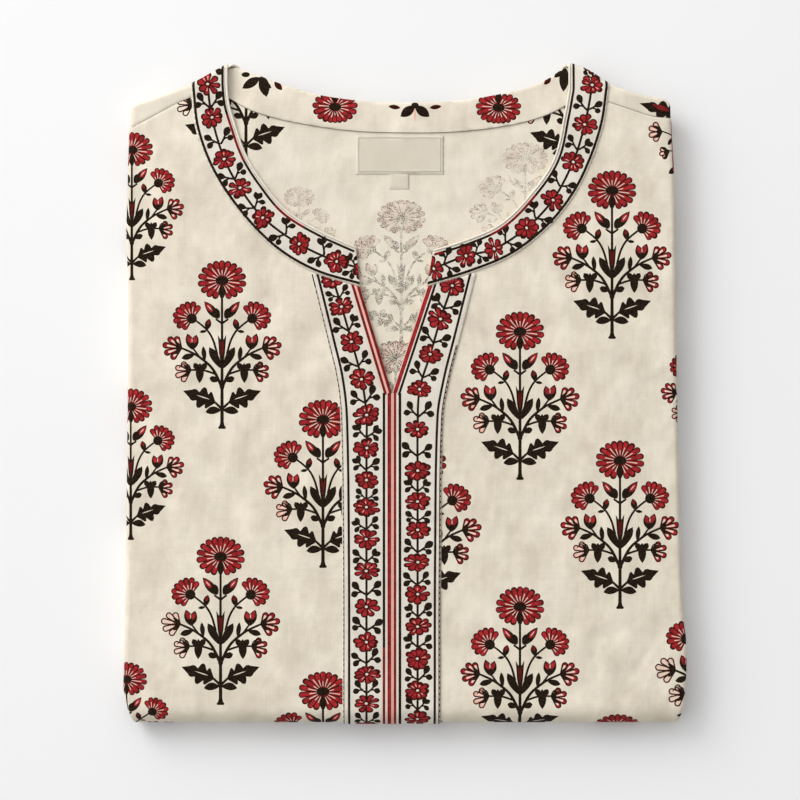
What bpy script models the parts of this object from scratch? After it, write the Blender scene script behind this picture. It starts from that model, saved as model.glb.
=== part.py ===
"""A block-printed cotton kurta tunic, neatly folded flat with its neckline uppermost.

X runs across the garment, +Y up it towards the neck, +Z up from the surface it rests on.
The garment is folded in three stories: its upper third lies face up on top, the cloth turns
round the bottom fold, and the middle third lies face down underneath. The sides, the sleeves
and the lower body are folded inside.

Every piece of cloth is a wall cut out flat, as a pattern piece. A flat place (u, v) equals
(x, y) on the top face, and the fold path carries the rest round the edges: past a side edge
the cloth rolls under, past the bottom edge it turns round the bottom fold and runs back below,
and past the shoulder fold it turns over to the inside.
"""

import math
from collections import namedtuple

import bmesh
import bpy
from mathutils import Vector
from mathutils.geometry import delaunay_2d_cdt

# ---------------------------------------------------------------- driving sizes, millimetres
MM = 0.001
CLOTH = 1.0
GAP = 0.3
STORY = 5.4
TOP_FACE = 17.6
SIDE_RADIUS = STORY / 2
SIDE_TUCK = 12.0
CROWN = 0.8
CROWN_REACH = 30.0
SHOULDER_RADIUS = 2.0
BOTTOM_RADIUS = TOP_FACE / 2
BOTTOM_EDGE = -177.6
BOTTOM_TURN = BOTTOM_EDGE + BOTTOM_RADIUS
STACK_RADIUS = 5.55
STACK_TURN = math.radians(165)
STACK_TOP = 154.0
UNDER_INSET = 1.2
BACK_RISE = 1.7
BACK_RISE_REACH = 25.0
BACK_LOW_END = -12.0
BACK_SIDE_TOP = 12.0
BACK_SIDE_INSET = 17.0
SHOULDER_HEM_Y = 150.0
SHOULDER_HEM_DEPTH = 3.0
CORNER_TURN = math.radians(57)
STACK_CORNER_TURN = math.pi * 5 / 8
LIP_CLEARANCE = 4.0
LIP_STEPS = (0.5, 1.5, 3.0)
SIDE_TUCK_TOP = 8.0
BAND_TUCK = 9.0
PLACKET_TURN = math.radians(125)
PLACKET_WIDTH = 26.6
CENTRE_LINE = -7.0
CENTRE_HALF_GAP = 0.16
SLIT_TIP_Y = 1.1
SEAM_HALF_GAP = 0.16
EDGE_GAP = 0.5
PLACKET_COLUMNS = (0.04, 0.5, 0.96)
NECK_TOP_Y = 150.0
SIDE_TUCK_DROP = 1.0

FLAT_STEP = 15.0
FINE_STEP = 2.6
OUTLINE_STEP = 7.5
BAND_STEP = 5.0
SIDE_STEP = 5.2
UNDER_STEP = 42.0
SIDE_LEAD = 4.0
SHOULDER_LEAD = 4.0
SHOULDER_RUN = 24.0
PAST_EDGE = 120.0
WALL_CLEARANCE = 0.7
BACK_CLEARANCE = 1.0
PLACKET_CLEARANCE = 0.4
PATCH_CLEARANCE = 1.5
LINE_CLEARANCE = 0.2
MERGE_DISTANCE = 1e-4
SHARP_EDGE = math.radians(40)
SIDE_SEGMENTS = 8
BOTTOM_SEGMENTS = 10
SHOULDER_SEGMENTS = 6
STACK_SEGMENTS = 7

ColumnRun = namedtuple("ColumnRun", "left right step")
BACK_COLUMNS = (
    ColumnRun(left=-149.0, right=-120.0, step=SIDE_STEP),
    ColumnRun(left=-118.0, right=-88.0, step=FINE_STEP),
    ColumnRun(left=-75.0, right=75.0, step=FLAT_STEP),
    ColumnRun(left=86.0, right=113.0, step=FINE_STEP),
    ColumnRun(left=118.0, right=145.0, step=SIDE_STEP),
)
BACK_LOW_COLUMNS = ColumnRun(left=-130.0, right=130.0, step=FLAT_STEP)
BAND_COLUMNS = ColumnRun(left=86.0, right=119.0, step=FINE_STEP)

SideEdge = namedtuple("SideEdge", "y left right")
SIDE_EDGES = (
    SideEdge(y=-176.0, left=-148.8, right=149.3),
    SideEdge(y=-169.0, left=-150.3, right=150.8),
    SideEdge(y=-159.0, left=-152.3, right=151.8),
    SideEdge(y=-146.0, left=-152.0, right=152.4),
    SideEdge(y=-131.0, left=-151.7, right=152.0),
    SideEdge(y=-121.0, left=-151.4, right=150.7),
    SideEdge(y=-89.0, left=-150.9, right=149.3),
    SideEdge(y=-40.0, left=-150.5, right=148.0),
    SideEdge(y=51.0, left=-149.6, right=146.5),
    SideEdge(y=86.0, left=-150.8, right=146.3),
    SideEdge(y=115.0, left=-150.1, right=145.8),
    SideEdge(y=138.0, left=-149.4, right=144.6),
    SideEdge(y=157.0, left=-148.2, right=143.7),
)

EdgePoint = namedtuple("EdgePoint", "x y")
SHOULDER_FOLD = (
    EdgePoint(x=-148.2, y=156.6),
    EdgePoint(x=-131.8, y=162.0),
    EdgePoint(x=-111.8, y=169.6),
    EdgePoint(x=-102.0, y=175.2),
    EdgePoint(x=-95.5, y=178.4),
    EdgePoint(x=-89.0, y=179.0),
    EdgePoint(x=86.0, y=178.8),
    EdgePoint(x=93.0, y=177.8),
    EdgePoint(x=102.0, y=173.5),
    EdgePoint(x=109.6, y=168.5),
    EdgePoint(x=127.4, y=162.5),
    EdgePoint(x=139.3, y=160.4),
    EdgePoint(x=143.6, y=158.5),
)
SHOULDER_SEAM_LEFT = (
    EdgePoint(x=-147.2, y=144.8),
    EdgePoint(x=-131.8, y=153.1),
    EdgePoint(x=-120.6, y=158.8),
    EdgePoint(x=-108.0, y=163.6),
    EdgePoint(x=-96.4, y=167.6),
)
SHOULDER_SEAM_RIGHT = (
    EdgePoint(x=143.0, y=149.6),
    EdgePoint(x=132.8, y=150.9),
    EdgePoint(x=124.0, y=153.7),
    EdgePoint(x=110.2, y=158.2),
    EdgePoint(x=88.9, y=165.0),
)
NECK_EDGE_LEFT = (
    EdgePoint(x=-96.4, y=167.6),
    EdgePoint(x=-95.4, y=157.7),
    EdgePoint(x=-92.7, y=148.0),
    EdgePoint(x=-86.0, y=129.3),
    EdgePoint(x=-76.4, y=113.9),
    EdgePoint(x=-64.3, y=99.6),
    EdgePoint(x=-47.0, y=88.8),
    EdgePoint(x=-26.5, y=79.4),
)
NECK_EDGE_RIGHT = (
    EdgePoint(x=88.9, y=165.0),
    EdgePoint(x=86.6, y=152.3),
    EdgePoint(x=80.7, y=127.2),
    EdgePoint(x=67.2, y=107.2),
    EdgePoint(x=51.3, y=91.8),
    EdgePoint(x=32.9, y=83.4),
    EdgePoint(x=15.1, y=77.8),
)
BAND_OUTER_LEFT = (
    EdgePoint(x=-115.8, y=166.0),
    EdgePoint(x=-113.1, y=143.7),
    EdgePoint(x=-104.3, y=120.4),
    EdgePoint(x=-88.6, y=97.1),
    EdgePoint(x=-69.7, y=78.2),
    EdgePoint(x=-48.6, y=65.9),
    EdgePoint(x=-24.3, y=58.6),
)
BAND_OUTER_RIGHT = (
    EdgePoint(x=110.4, y=166.0),
    EdgePoint(x=107.7, y=147.3),
    EdgePoint(x=102.2, y=129.6),
    EdgePoint(x=93.2, y=110.4),
    EdgePoint(x=79.8, y=92.6),
    EdgePoint(x=59.5, y=76.0),
    EdgePoint(x=36.3, y=65.9),
    EdgePoint(x=11.9, y=58.6),
)
PLACKET_OUTER_LEFT = (
    EdgePoint(x=-50.8, y=65.0),
    EdgePoint(x=-41.7, y=28.3),
    EdgePoint(x=-37.2, y=8.9),
    EdgePoint(x=-34.9, y=-11.9),
    EdgePoint(x=-33.8, y=-89.0),
    EdgePoint(x=-33.7, y=-168.0),
)
PLACKET_OUTER_RIGHT = (
    EdgePoint(x=38.6, y=65.0),
    EdgePoint(x=29.6, y=29.4),
    EdgePoint(x=24.4, y=8.9),
    EdgePoint(x=20.9, y=-11.9),
    EdgePoint(x=19.6, y=-89.0),
    EdgePoint(x=19.4, y=-168.0),
)
BACK_NECK_EDGE = (
    EdgePoint(x=-89.1, y=176.4),
    EdgePoint(x=-80.5, y=173.4),
    EdgePoint(x=-64.3, y=167.4),
    EdgePoint(x=-43.0, y=161.6),
    EdgePoint(x=-10.3, y=158.2),
    EdgePoint(x=29.7, y=159.3),
    EdgePoint(x=58.3, y=164.3),
    EdgePoint(x=74.5, y=169.6),
    EdgePoint(x=84.0, y=175.6),
)
FACING_LOWER_EDGE = (
    EdgePoint(x=-93.6, y=159.4),
    EdgePoint(x=-82.6, y=153.4),
    EdgePoint(x=-64.3, y=148.0),
    EdgePoint(x=-32.4, y=142.9),
    EdgePoint(x=-5.9, y=141.6),
    EdgePoint(x=27.0, y=142.0),
    EdgePoint(x=54.0, y=145.1),
    EdgePoint(x=74.0, y=150.1),
    EdgePoint(x=86.0, y=155.6),
)

Patch = namedtuple("Patch", "left right bottom top")
LABEL = Patch(left=-26.5, right=20.9, bottom=119.1, top=140.4)
SIZE_TAB = Patch(left=-8.6, right=2.2, bottom=111.2, top=118.8)

Swell = namedtuple("Swell", "x y length width angle height")
SWELLS = (
    Swell(x=-122.0, y=62.0, length=46.0, width=15.0, angle=80.0, height=0.35),
    Swell(x=98.0, y=22.0, length=52.0, width=17.0, angle=105.0, height=0.30),
    Swell(x=-78.0, y=-52.0, length=48.0, width=15.0, angle=12.0, height=-0.30),
    Swell(x=84.0, y=-98.0, length=44.0, width=14.0, angle=160.0, height=0.35),
    Swell(x=-96.0, y=-128.0, length=40.0, width=14.0, angle=60.0, height=0.30),
    Swell(x=126.0, y=-150.0, length=22.0, width=9.0, angle=80.0, height=0.35),
    Swell(x=-96.0, y=181.0, length=17.0, width=17.0, angle=0.0, height=-1.2),
    Swell(x=92.0, y=181.0, length=17.0, width=17.0, angle=0.0, height=-1.2),
)

# Hidden layers: one core with two folds of cloth showing at each side edge.
CORE_LAYERS = 2
CORE_BASE = CLOTH + GAP
CORE_MIDDLE = (STORY + GAP, STORY * 2 + GAP)
CORE_CROWN = 12.4
CORE_INSET = 2.0
CORE_BLOCK_GAP = 3.0
CORE_BLOCK_INSET = SIDE_RADIUS + SIDE_TUCK + CORE_BLOCK_GAP
CORE_BOTTOM_CLEARANCE = 1.2
CORE_TOP_CLEARANCE = 1.0
CORE_ARC_SEGMENTS = 5
CORE_FOLD_SHARE = 0.97
CORE_STATIONS = 12
CoreEnd = namedtuple("CoreEnd", "along inset")
CORE_ENDS = (
    CoreEnd(along=0.0, inset=1.2),
    CoreEnd(along=0.5, inset=0.5),
    CoreEnd(along=1.4, inset=0.0),
)

Finish = namedtuple("Finish", "colour roughness")
CREAM_COTTON = Finish(colour=(0.83, 0.78, 0.68, 1.0), roughness=0.9)
BORDER_PRINT = Finish(colour=(0.45, 0.11, 0.09, 1.0), roughness=0.88)
INNER_COTTON = Finish(colour=(0.74, 0.70, 0.62, 1.0), roughness=0.92)
WOVEN_LABEL = Finish(colour=(0.86, 0.81, 0.70, 1.0), roughness=0.75)


# ---------------------------------------------------------------- curves
def smooth_value(at, places, values):
    """Value at a place on the smooth curve through a table, held level past its ends."""
    if at <= places[0]:
        return values[0]
    if at >= places[-1]:
        return values[-1]
    last = len(places) - 1
    row = max(i for i in range(last) if places[i] <= at)
    span = places[row + 1] - places[row]
    share = (at - places[row]) / span

    def slope(i):
        before = max(i - 1, 0)
        after = min(i + 1, last)
        return (values[after] - values[before]) / (places[after] - places[before])

    rise = values[row + 1] - values[row]
    start = slope(row) * span
    end = slope(row + 1) * span
    return (values[row] + start * share + (3 * rise - 2 * start - end) * share ** 2
            + (start + end - 2 * rise) * share ** 3)


def smooth_path(points, step):
    """Points along the smooth plane curve through the given points, about a step apart."""
    places = [0.0]
    for before, after in zip(points, points[1:]):
        places.append(places[-1] + math.hypot(after[0] - before[0], after[1] - before[1]))
    count = max(2, round(places[-1] / step))
    marks = [places[-1] * i / count for i in range(count + 1)]
    xs = [p[0] for p in points]
    ys = [p[1] for p in points]
    return [(smooth_value(m, places, xs), smooth_value(m, places, ys)) for m in marks]


def ease(share):
    """Smooth step from 0 to 1."""
    share = min(max(share, 0.0), 1.0)
    return share * share * (3 - 2 * share)


def spread(start, end, step):
    """Evenly spaced values from start to end, at most about a step apart."""
    count = max(1, math.ceil(abs(end - start) / step))
    return [start + (end - start) * i / count for i in range(count + 1)]


def table_value(table, key, column, at):
    """A table's smooth value in one column, found by another."""
    places = [getattr(row, key) for row in table]
    values = [getattr(row, column) for row in table]
    return smooth_value(at, places, values)


# ---------------------------------------------------------------- the fold path
def shoulder_turn_start(u):
    """Height up the garment where the top face starts to roll over the shoulder fold."""
    return table_value(SHOULDER_FOLD, "x", "y", u) - SHOULDER_RADIUS


def inside_v(u, y):
    """Flat place, past the shoulder fold, of a point on the inside layer."""
    start = shoulder_turn_start(u)
    return 2 * start + math.pi * SHOULDER_RADIUS - y


def relief(x, y):
    """Soft swells and hollows of the pressed top story."""
    height = 0.0
    for swell in SWELLS:
        turn = math.radians(swell.angle)
        along = (x - swell.x) * math.cos(turn) + (y - swell.y) * math.sin(turn)
        across = (y - swell.y) * math.cos(turn) - (x - swell.x) * math.sin(turn)
        height += swell.height * math.exp(-(along / swell.length) ** 2 - (across / swell.width) ** 2)
    return height


FoldSpot = namedtuple("FoldSpot", "y z ny nz face_up")


def fold_spot(u, v):
    """Where the outer face lies along the fold path, and which way it faces there."""
    shoulder = shoulder_turn_start(u)
    bottom = BOTTOM_TURN
    if v > shoulder:
        turn = (v - shoulder) / SHOULDER_RADIUS
        centre = TOP_FACE - SHOULDER_RADIUS
        if turn < math.pi:
            return FoldSpot(shoulder + SHOULDER_RADIUS * math.sin(turn),
                            centre + SHOULDER_RADIUS * math.cos(turn),
                            math.sin(turn), math.cos(turn), 1.0)
        run = v - shoulder - math.pi * SHOULDER_RADIUS
        rise = BACK_RISE * ease(run / BACK_RISE_REACH)
        return FoldSpot(shoulder - run, centre - SHOULDER_RADIUS + rise, 0.0, -1.0, 1.0)
    if v >= bottom:
        return FoldSpot(v, TOP_FACE, 0.0, 1.0, 1.0)
    turn = (bottom - v) / BOTTOM_RADIUS
    if turn < math.pi:
        return FoldSpot(bottom - BOTTOM_RADIUS * math.sin(turn),
                        BOTTOM_RADIUS * (1 + math.cos(turn)),
                        -math.sin(turn), math.cos(turn), (1 + math.cos(turn)) / 2)
    run = bottom - v - math.pi * BOTTOM_RADIUS
    stack = STACK_TOP - STACK_RADIUS
    if bottom + run < stack:
        return FoldSpot(bottom + run, 0.0, 0.0, -1.0, 0.0)
    turn = (bottom + run - stack) / STACK_RADIUS
    return FoldSpot(stack + STACK_RADIUS * math.sin(turn), STACK_RADIUS * (1 - math.cos(turn)),
                    math.sin(turn), -math.cos(turn), 0.0)


def side_reach(side, spot):
    """Flat half width on one side, where the side roll starts."""
    column = "right" if side > 0 else "left"
    edge = side * table_value(SIDE_EDGES, "y", column, spot.y)
    return edge - SIDE_RADIUS - UNDER_INSET * (1 - spot.face_up)


def place(u, v, depth):
    """A point of the cloth in space: depth is how far below the outer face it lies."""
    spot = fold_spot(u, v)
    side = 1 if u > 0 else -1
    reach = side_reach(side, spot)
    over = abs(u) - reach
    turn = min(max(over / SIDE_RADIUS, 0.0), math.pi)
    x = side * (min(abs(u), reach) + SIDE_RADIUS * math.sin(turn))
    x -= side * max(over - math.pi * SIDE_RADIUS, 0.0)
    drop = SIDE_RADIUS * (1 - math.cos(turn))
    lift = relief(x, spot.y) - CROWN * ease(1 + over / CROWN_REACH)
    nx = side * math.sin(turn)
    facing = math.cos(turn)
    sink = drop + facing * depth
    return Vector((x - nx * depth, spot.y - spot.ny * sink,
                   spot.z - spot.nz * sink + spot.face_up * lift))


# ---------------------------------------------------------------- cloth walls
def split_outline(outline, lines_v):
    """The outline with its long edges divided, finely where the cloth rolls."""
    points = []
    for start, end in zip(outline, outline[1:] + outline[:1]):
        points.append(start)
        marks = set()
        for line in lines_v:
            clear_of_start = line > min(start[1], end[1]) + LINE_CLEARANCE
            clear_of_end = line < max(start[1], end[1]) - LINE_CLEARANCE
            if clear_of_start and clear_of_end:
                marks.add((line - start[1]) / (end[1] - start[1]))
        if abs(end[1] - start[1]) < LINE_CLEARANCE:
            count = math.ceil(abs(end[0] - start[0]) / OUTLINE_STEP)
            marks.update(i / count for i in range(1, count))
        for share in sorted(marks):
            points.append(tuple(a + (b - a) * share for a, b in zip(start, end)))
    return points


def inside(point, outline):
    """Whether a flat point lies inside a closed outline."""
    x, y = point
    hit = False
    for (x1, y1), (x2, y2) in zip(outline, outline[1:] + outline[:1]):
        if (y1 > y) != (y2 > y) and x < (x2 - x1) * (y - y1) / (y2 - y1) + x1:
            hit = not hit
    return hit


def edge_distance(point, outline):
    """Distance from a flat point to the nearest edge of an outline."""
    best = math.inf
    px, py = point
    for (x1, y1), (x2, y2) in zip(outline, outline[1:] + outline[:1]):
        length = (x2 - x1) ** 2 + (y2 - y1) ** 2
        share = 0.0
        if length > 0:
            share = min(max(((px - x1) * (x2 - x1) + (py - y1) * (y2 - y1)) / length, 0.0), 1.0)
        best = min(best, math.hypot(px - x1 - share * (x2 - x1), py - y1 - share * (y2 - y1)))
    return best


def wall(name, outline, rows, outer, finish, clearance=WALL_CLEARANCE):
    """A closed wall of cloth: an outline cut out flat, put in place at two depths.

    Each row of inner points keeps its line, so that the wall bends along it.
    """
    points = list(outline)
    creases = []
    for row in rows:
        last = None
        for point in row:
            clear = inside(point, outline) and edge_distance(point, outline) > clearance
            if not clear:
                last = None
                continue
            points.append(point)
            this = len(points) - 1
            if last is not None:
                middle = tuple((a + b) / 2 for a, b in zip(points[last], point))
                if inside(middle, outline):
                    creases.append((last, this))
            last = this
    loop = list(range(len(outline)))
    corners, _, triangles, _, _, _ = delaunay_2d_cdt(
        [Vector(p) for p in points], creases, [loop], 1, MERGE_DISTANCE)
    bm = bmesh.new()
    top = [bm.verts.new(place(c.x, c.y, outer) * MM) for c in corners]
    low = [bm.verts.new(place(c.x, c.y, outer + CLOTH) * MM) for c in corners]
    rim = {}
    for triangle in triangles:
        bm.faces.new([top[i] for i in triangle])
        bm.faces.new([low[i] for i in reversed(triangle)])
        for a, b in zip(triangle, triangle[1:] + triangle[:1]):
            rim[(a, b)] = True
    for a, b in rim:
        if (b, a) not in rim:
            bm.faces.new((top[b], top[a], low[a], low[b]))
    return add_object(name, bm, finish)


def add_object(name, bm, finish):
    """Closes a mesh off as a named object with its own material."""
    bmesh.ops.recalc_face_normals(bm, faces=bm.faces)
    bmesh.ops.triangulate(bm, faces=bm.faces)
    mesh = bpy.data.meshes.new(name)
    bm.to_mesh(mesh)
    bm.free()
    mesh.shade_smooth()
    mesh.set_sharp_from_angle(angle=SHARP_EDGE)
    material = bpy.data.materials.new(name)
    material.use_nodes = True
    shader = material.node_tree.nodes["Principled BSDF"]
    shader.inputs["Base Color"].default_value = finish.colour
    shader.inputs["Roughness"].default_value = finish.roughness
    shader.inputs["Metallic"].default_value = 0.0
    mesh.materials.append(material)
    thing = bpy.data.objects.new(name, mesh)
    bpy.context.scene.collection.objects.link(thing)
    return thing


def turn_lines(start, radius, turn, segments):
    """Flat places of the creases that divide a roll, from its start to its full turn."""
    return [start + radius * turn * i / segments for i in range(segments + 1)]


def roll_reach(side, v, turn, tuck=0.0):
    """Flat place across the cloth at a given turn of its side roll, and a tuck past it."""
    spot = fold_spot(side * PAST_EDGE, v)
    return side * (side_reach(side, spot) + SIDE_RADIUS * turn + tuck)


# ---------------------------------------------------------------- pieces
def front_lines():
    """Flat heights of the rows that shape the front: the top, the folds and the underside."""
    bottom = BOTTOM_TURN
    under = bottom - math.pi * BOTTOM_RADIUS
    stack = under - (STACK_TOP - STACK_RADIUS - bottom)
    rows = spread(SHOULDER_SEAM_LEFT[-1].y, bottom, FLAT_STEP)
    rows += turn_lines(bottom, -BOTTOM_RADIUS, math.pi, BOTTOM_SEGMENTS)[1:]
    rows += spread(under, stack + LIP_CLEARANCE, UNDER_STEP)[1:] + [stack]
    rows += turn_lines(stack, -STACK_RADIUS, STACK_TURN, STACK_SEGMENTS)[1:]
    return rows, stack


def front_piece():
    """Front panel: neck and slit cut out, sides rolled under, and round the bottom fold."""
    rows, stack = front_lines()
    lip_end = stack + LIP_CLEARANCE
    left_seam = SHOULDER_SEAM_LEFT[0].y
    right_seam = SHOULDER_SEAM_RIGHT[0].y
    fine = [math.pi * i / SIDE_SEGMENTS for i in range(SIDE_SEGMENTS + 1)]

    outline = [(roll_reach(-1, left_seam, math.pi, SIDE_TUCK), left_seam - SIDE_TUCK_DROP)]
    outline += [(roll_reach(-1, left_seam, turn), left_seam) for turn in reversed(fine[1:])]
    outline += [(p[0], p[1] - SEAM_HALF_GAP) for p in smooth_path(SHOULDER_SEAM_LEFT, OUTLINE_STEP)]
    outline += smooth_path(NECK_EDGE_LEFT, OUTLINE_STEP)[1:]
    outline += [(BAND_OUTER_LEFT[-1].x, BAND_OUTER_LEFT[-1].y)]
    outline += [(CENTRE_LINE - CENTRE_HALF_GAP, SLIT_TIP_Y), (CENTRE_LINE + CENTRE_HALF_GAP, SLIT_TIP_Y)]
    outline += [(BAND_OUTER_RIGHT[-1].x, BAND_OUTER_RIGHT[-1].y)]
    outline += smooth_path(NECK_EDGE_RIGHT, OUTLINE_STEP)[:0:-1]
    seam = [(p[0], p[1] - SEAM_HALF_GAP) for p in smooth_path(SHOULDER_SEAM_RIGHT, OUTLINE_STEP)]
    outline += seam[::-1]
    outline += [(roll_reach(1, right_seam, turn), right_seam) for turn in fine[1:]]
    outline += [(roll_reach(1, right_seam, math.pi, SIDE_TUCK), right_seam - SIDE_TUCK_DROP)]
    outline += side_rows(1, rows, right_seam - SIDE_TUCK_TOP, lip_end)
    outline += side_rows(-1, rows, left_seam - SIDE_TUCK_TOP, lip_end)[::-1]

    fill = []
    for v in rows:
        wide = FLAT_STEP if v > BOTTOM_TURN - LINE_CLEARANCE else UNDER_STEP
        row = [(roll_reach(-1, v, turn), v) for turn in reversed(fine)]
        left = roll_reach(-1, v, 0.0) + SIDE_LEAD
        right = roll_reach(1, v, 0.0) - SIDE_LEAD
        row += [(u, v) for u in spread(left, right, wide)]
        row += [(roll_reach(1, v, turn), v) for turn in fine]
        fill.append(row)
    return wall("front", split_outline(outline, []), fill, 0.0, CREAM_COTTON)


def side_rows(side, rows, start, lip_end):
    """One long side of the front: tucked under down to the stack's roll, then narrower."""
    full, narrowing, narrow = (lip_end - step for step in LIP_STEPS)
    points = [(roll_reach(side, v, math.pi, SIDE_TUCK), v) for v in rows if start > v > full]
    points.append((roll_reach(side, lip_end, math.pi), full))
    points.append((roll_reach(side, lip_end, STACK_CORNER_TURN), narrowing))
    points += [(roll_reach(side, v, STACK_CORNER_TURN), v) for v in rows if v < narrow]
    return points


def shoulder_rows(start_y, deep):
    """Offsets along the flat from the start of the shoulder roll, over it and on inside."""
    rows = [-start for start in spread(0.0, start_y, FLAT_STEP)[1:]]
    rows += turn_lines(0.0, SHOULDER_RADIUS, math.pi, SHOULDER_SEGMENTS)
    rows += [math.pi * SHOULDER_RADIUS + run for run in spread(0.0, deep, SIDE_STEP)[1:]]
    return rows


def back_half(side, seam, neck):
    """One side of the back's outline: low on the inside, over the shoulder, to the neck."""
    strip = [(p[0], p[1] + SEAM_HALF_GAP) for p in smooth_path(seam, SIDE_STEP)]
    edge_u = roll_reach(side, SHOULDER_HEM_Y, CORNER_TURN)
    start = shoulder_turn_start(edge_u)
    hem_rows = [row for row in shoulder_rows(0.0, SHOULDER_HEM_DEPTH) if row >= 0.0]
    hem = [(edge_u, v) for v in [strip[0][1]] + [start + row for row in hem_rows]]
    seam_end = strip[-1][0]
    over = turn_lines(shoulder_turn_start(seam_end), SHOULDER_RADIUS, math.pi, SHOULDER_SEGMENTS)
    slant = [(seam_end + (neck.x - seam_end) * i / len(over), v) for i, v in enumerate(over)]
    low_u = edge_u - side * BACK_SIDE_INSET
    low = [(low_u, inside_v(low_u, BACK_LOW_END)), (low_u, inside_v(low_u, start - BACK_SIDE_TOP))]
    return low + hem[::-1] + strip + slant


def column_places(run):
    """Flat places across the cloth, evenly spaced along one run."""
    return spread(run.left, run.right, run.step)


def back_piece():
    """Back panel: a strip over each shoulder fold, and the inside seen through the neck."""
    left = back_half(-1, SHOULDER_SEAM_LEFT, BACK_NECK_EDGE[0])
    right = back_half(1, SHOULDER_SEAM_RIGHT, BACK_NECK_EDGE[-1])
    neck_edge = [(x, inside_v(x, y)) for x, y in smooth_path(BACK_NECK_EDGE, OUTLINE_STEP)]
    low_places = spread(right[0][0], left[0][0], FLAT_STEP * 2)[1:-1]
    low_edge = [(u, inside_v(u, BACK_LOW_END)) for u in low_places]
    low_rows = spread(inside_v(0, BACK_LOW_END), inside_v(0, NECK_TOP_Y), FLAT_STEP)
    outline = split_outline(left + neck_edge + right[::-1] + low_edge, low_rows)

    columns = [u for run in BACK_COLUMNS for u in column_places(run)]
    fill = [[(u, shoulder_turn_start(u) + row) for u in columns]
            for row in shoulder_rows(SHOULDER_LEAD, SHOULDER_RUN)]
    fill += [[(u, v) for u in column_places(BACK_LOW_COLUMNS)] for v in low_rows]
    return wall("back", outline, fill, 0.0, INNER_COTTON, BACK_CLEARANCE)


def band_piece(name, side, neck_edge, outer_edge):
    """Neckband half: from the slit up to the shoulder, over the fold and tucked behind."""
    inner = smooth_path(neck_edge, BAND_STEP)
    outer = smooth_path(outer_edge, BAND_STEP)
    ends = []
    for u in (inner[0][0], outer[0][0]):
        start = shoulder_turn_start(u)
        rows = turn_lines(start, SHOULDER_RADIUS, math.pi, SHOULDER_SEGMENTS)
        rows.append(rows[-1] + BAND_TUCK)
        ends.append([(u, v) for v in rows])
    outline = inner[::-1] + ends[0] + ends[1][::-1] + [p for p in outer if p[1] < ends[1][0][1]]

    columns = [side * u for u in column_places(BAND_COLUMNS)]
    fill = [[(u, shoulder_turn_start(u) + row) for u in columns]
            for row in shoulder_rows(SHOULDER_LEAD, BAND_TUCK)]
    return wall(name, outline, fill, -GAP - CLOTH, BORDER_PRINT)


def placket_piece(name, side, outer_edge, band_edge):
    """Placket strip: beside the slit, then down the middle and round the bottom fold."""
    bottom = BOTTOM_TURN
    rows = turn_lines(bottom, -BOTTOM_RADIUS, PLACKET_TURN, BOTTOM_SEGMENTS)
    centre = CENTRE_LINE + side * CENTRE_HALF_GAP
    outer = [p for p in smooth_path(outer_edge, OUTLINE_STEP) if p[1] > bottom + BACK_CLEARANCE]
    top = [(x, y - EDGE_GAP) for x, y in smooth_path(band_edge, BAND_STEP)
           if abs(x) < abs(outer_edge[0].x) - EDGE_GAP]
    outline = top + [(centre, SLIT_TIP_Y)]
    outline += [(centre, v) for v in spread(SLIT_TIP_Y, bottom, FLAT_STEP)[1:]]
    outline += [(centre, v) for v in rows[1:]]
    outline += [(outer_edge[-1].x, v) for v in rows[::-1]]
    outline += outer[::-1]
    across = [centre + side * PLACKET_WIDTH * share for share in PLACKET_COLUMNS]
    fill = [[(u, v) for u in across] for v in spread(SLIT_TIP_Y, bottom, FLAT_STEP) + rows]
    return wall(name, outline, fill, -GAP - CLOTH, BORDER_PRINT, PLACKET_CLEARANCE)


def inside_wall(name, outline, finish):
    """A piece sewn on the inside of the back: its outline is given as it lies, in x and y."""
    flat = [(x, inside_v(x, y)) for x, y in outline]
    xs = [p[0] for p in outline]
    ys = [p[1] for p in outline]
    fill = [[(x, inside_v(x, y)) for x in spread(min(xs), max(xs), OUTLINE_STEP)]
            for y in spread(min(ys), max(ys), OUTLINE_STEP)]
    return wall(name, flat, fill, CLOTH + GAP, finish, PATCH_CLEARANCE)


def facing_piece():
    """Back neck facing: between the back's neck edge and its own stitched lower edge."""
    upper = smooth_path(BACK_NECK_EDGE, OUTLINE_STEP)
    lower = smooth_path(FACING_LOWER_EDGE, OUTLINE_STEP)
    return inside_wall("back_neck_facing", upper + lower[::-1], CREAM_COTTON)


def patch_piece(name, patch):
    """A small woven rectangle sewn on the inside of the back."""
    corners = [(patch.left, patch.bottom), (patch.right, patch.bottom),
               (patch.right, patch.top), (patch.left, patch.top)]
    return inside_wall(name, split_outline(corners, []), WOVEN_LABEL)


def core_section(y, inset):
    """Outline across the hidden layers at one height up the garment."""
    low, high = CORE_MIDDLE
    lobe = (high - low) / CORE_LAYERS / 2
    points = []
    for side in (1, -1):
        column = "right" if side > 0 else "left"
        edge = side * table_value(SIDE_EDGES, "y", column, y) - CORE_INSET - inset
        block = edge - CORE_BLOCK_INSET
        half = [(block, CORE_BASE + inset), (block, low + inset)]
        for layer in range(CORE_LAYERS):
            centre = low + lobe * (2 * layer + 1)
            for i in range(CORE_ARC_SEGMENTS + 1):
                turn = math.pi * (i / CORE_ARC_SEGMENTS - 0.5)
                height = centre + (lobe - inset / CORE_LAYERS) * math.sin(turn) * CORE_FOLD_SHARE
                half.append((edge - lobe + lobe * math.cos(turn), height))
        half += [(block, high - inset), (block, CORE_CROWN - inset)]
        points += [(side * x, y, z) for x, z in (half if side > 0 else reversed(half))]
    return points


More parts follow.
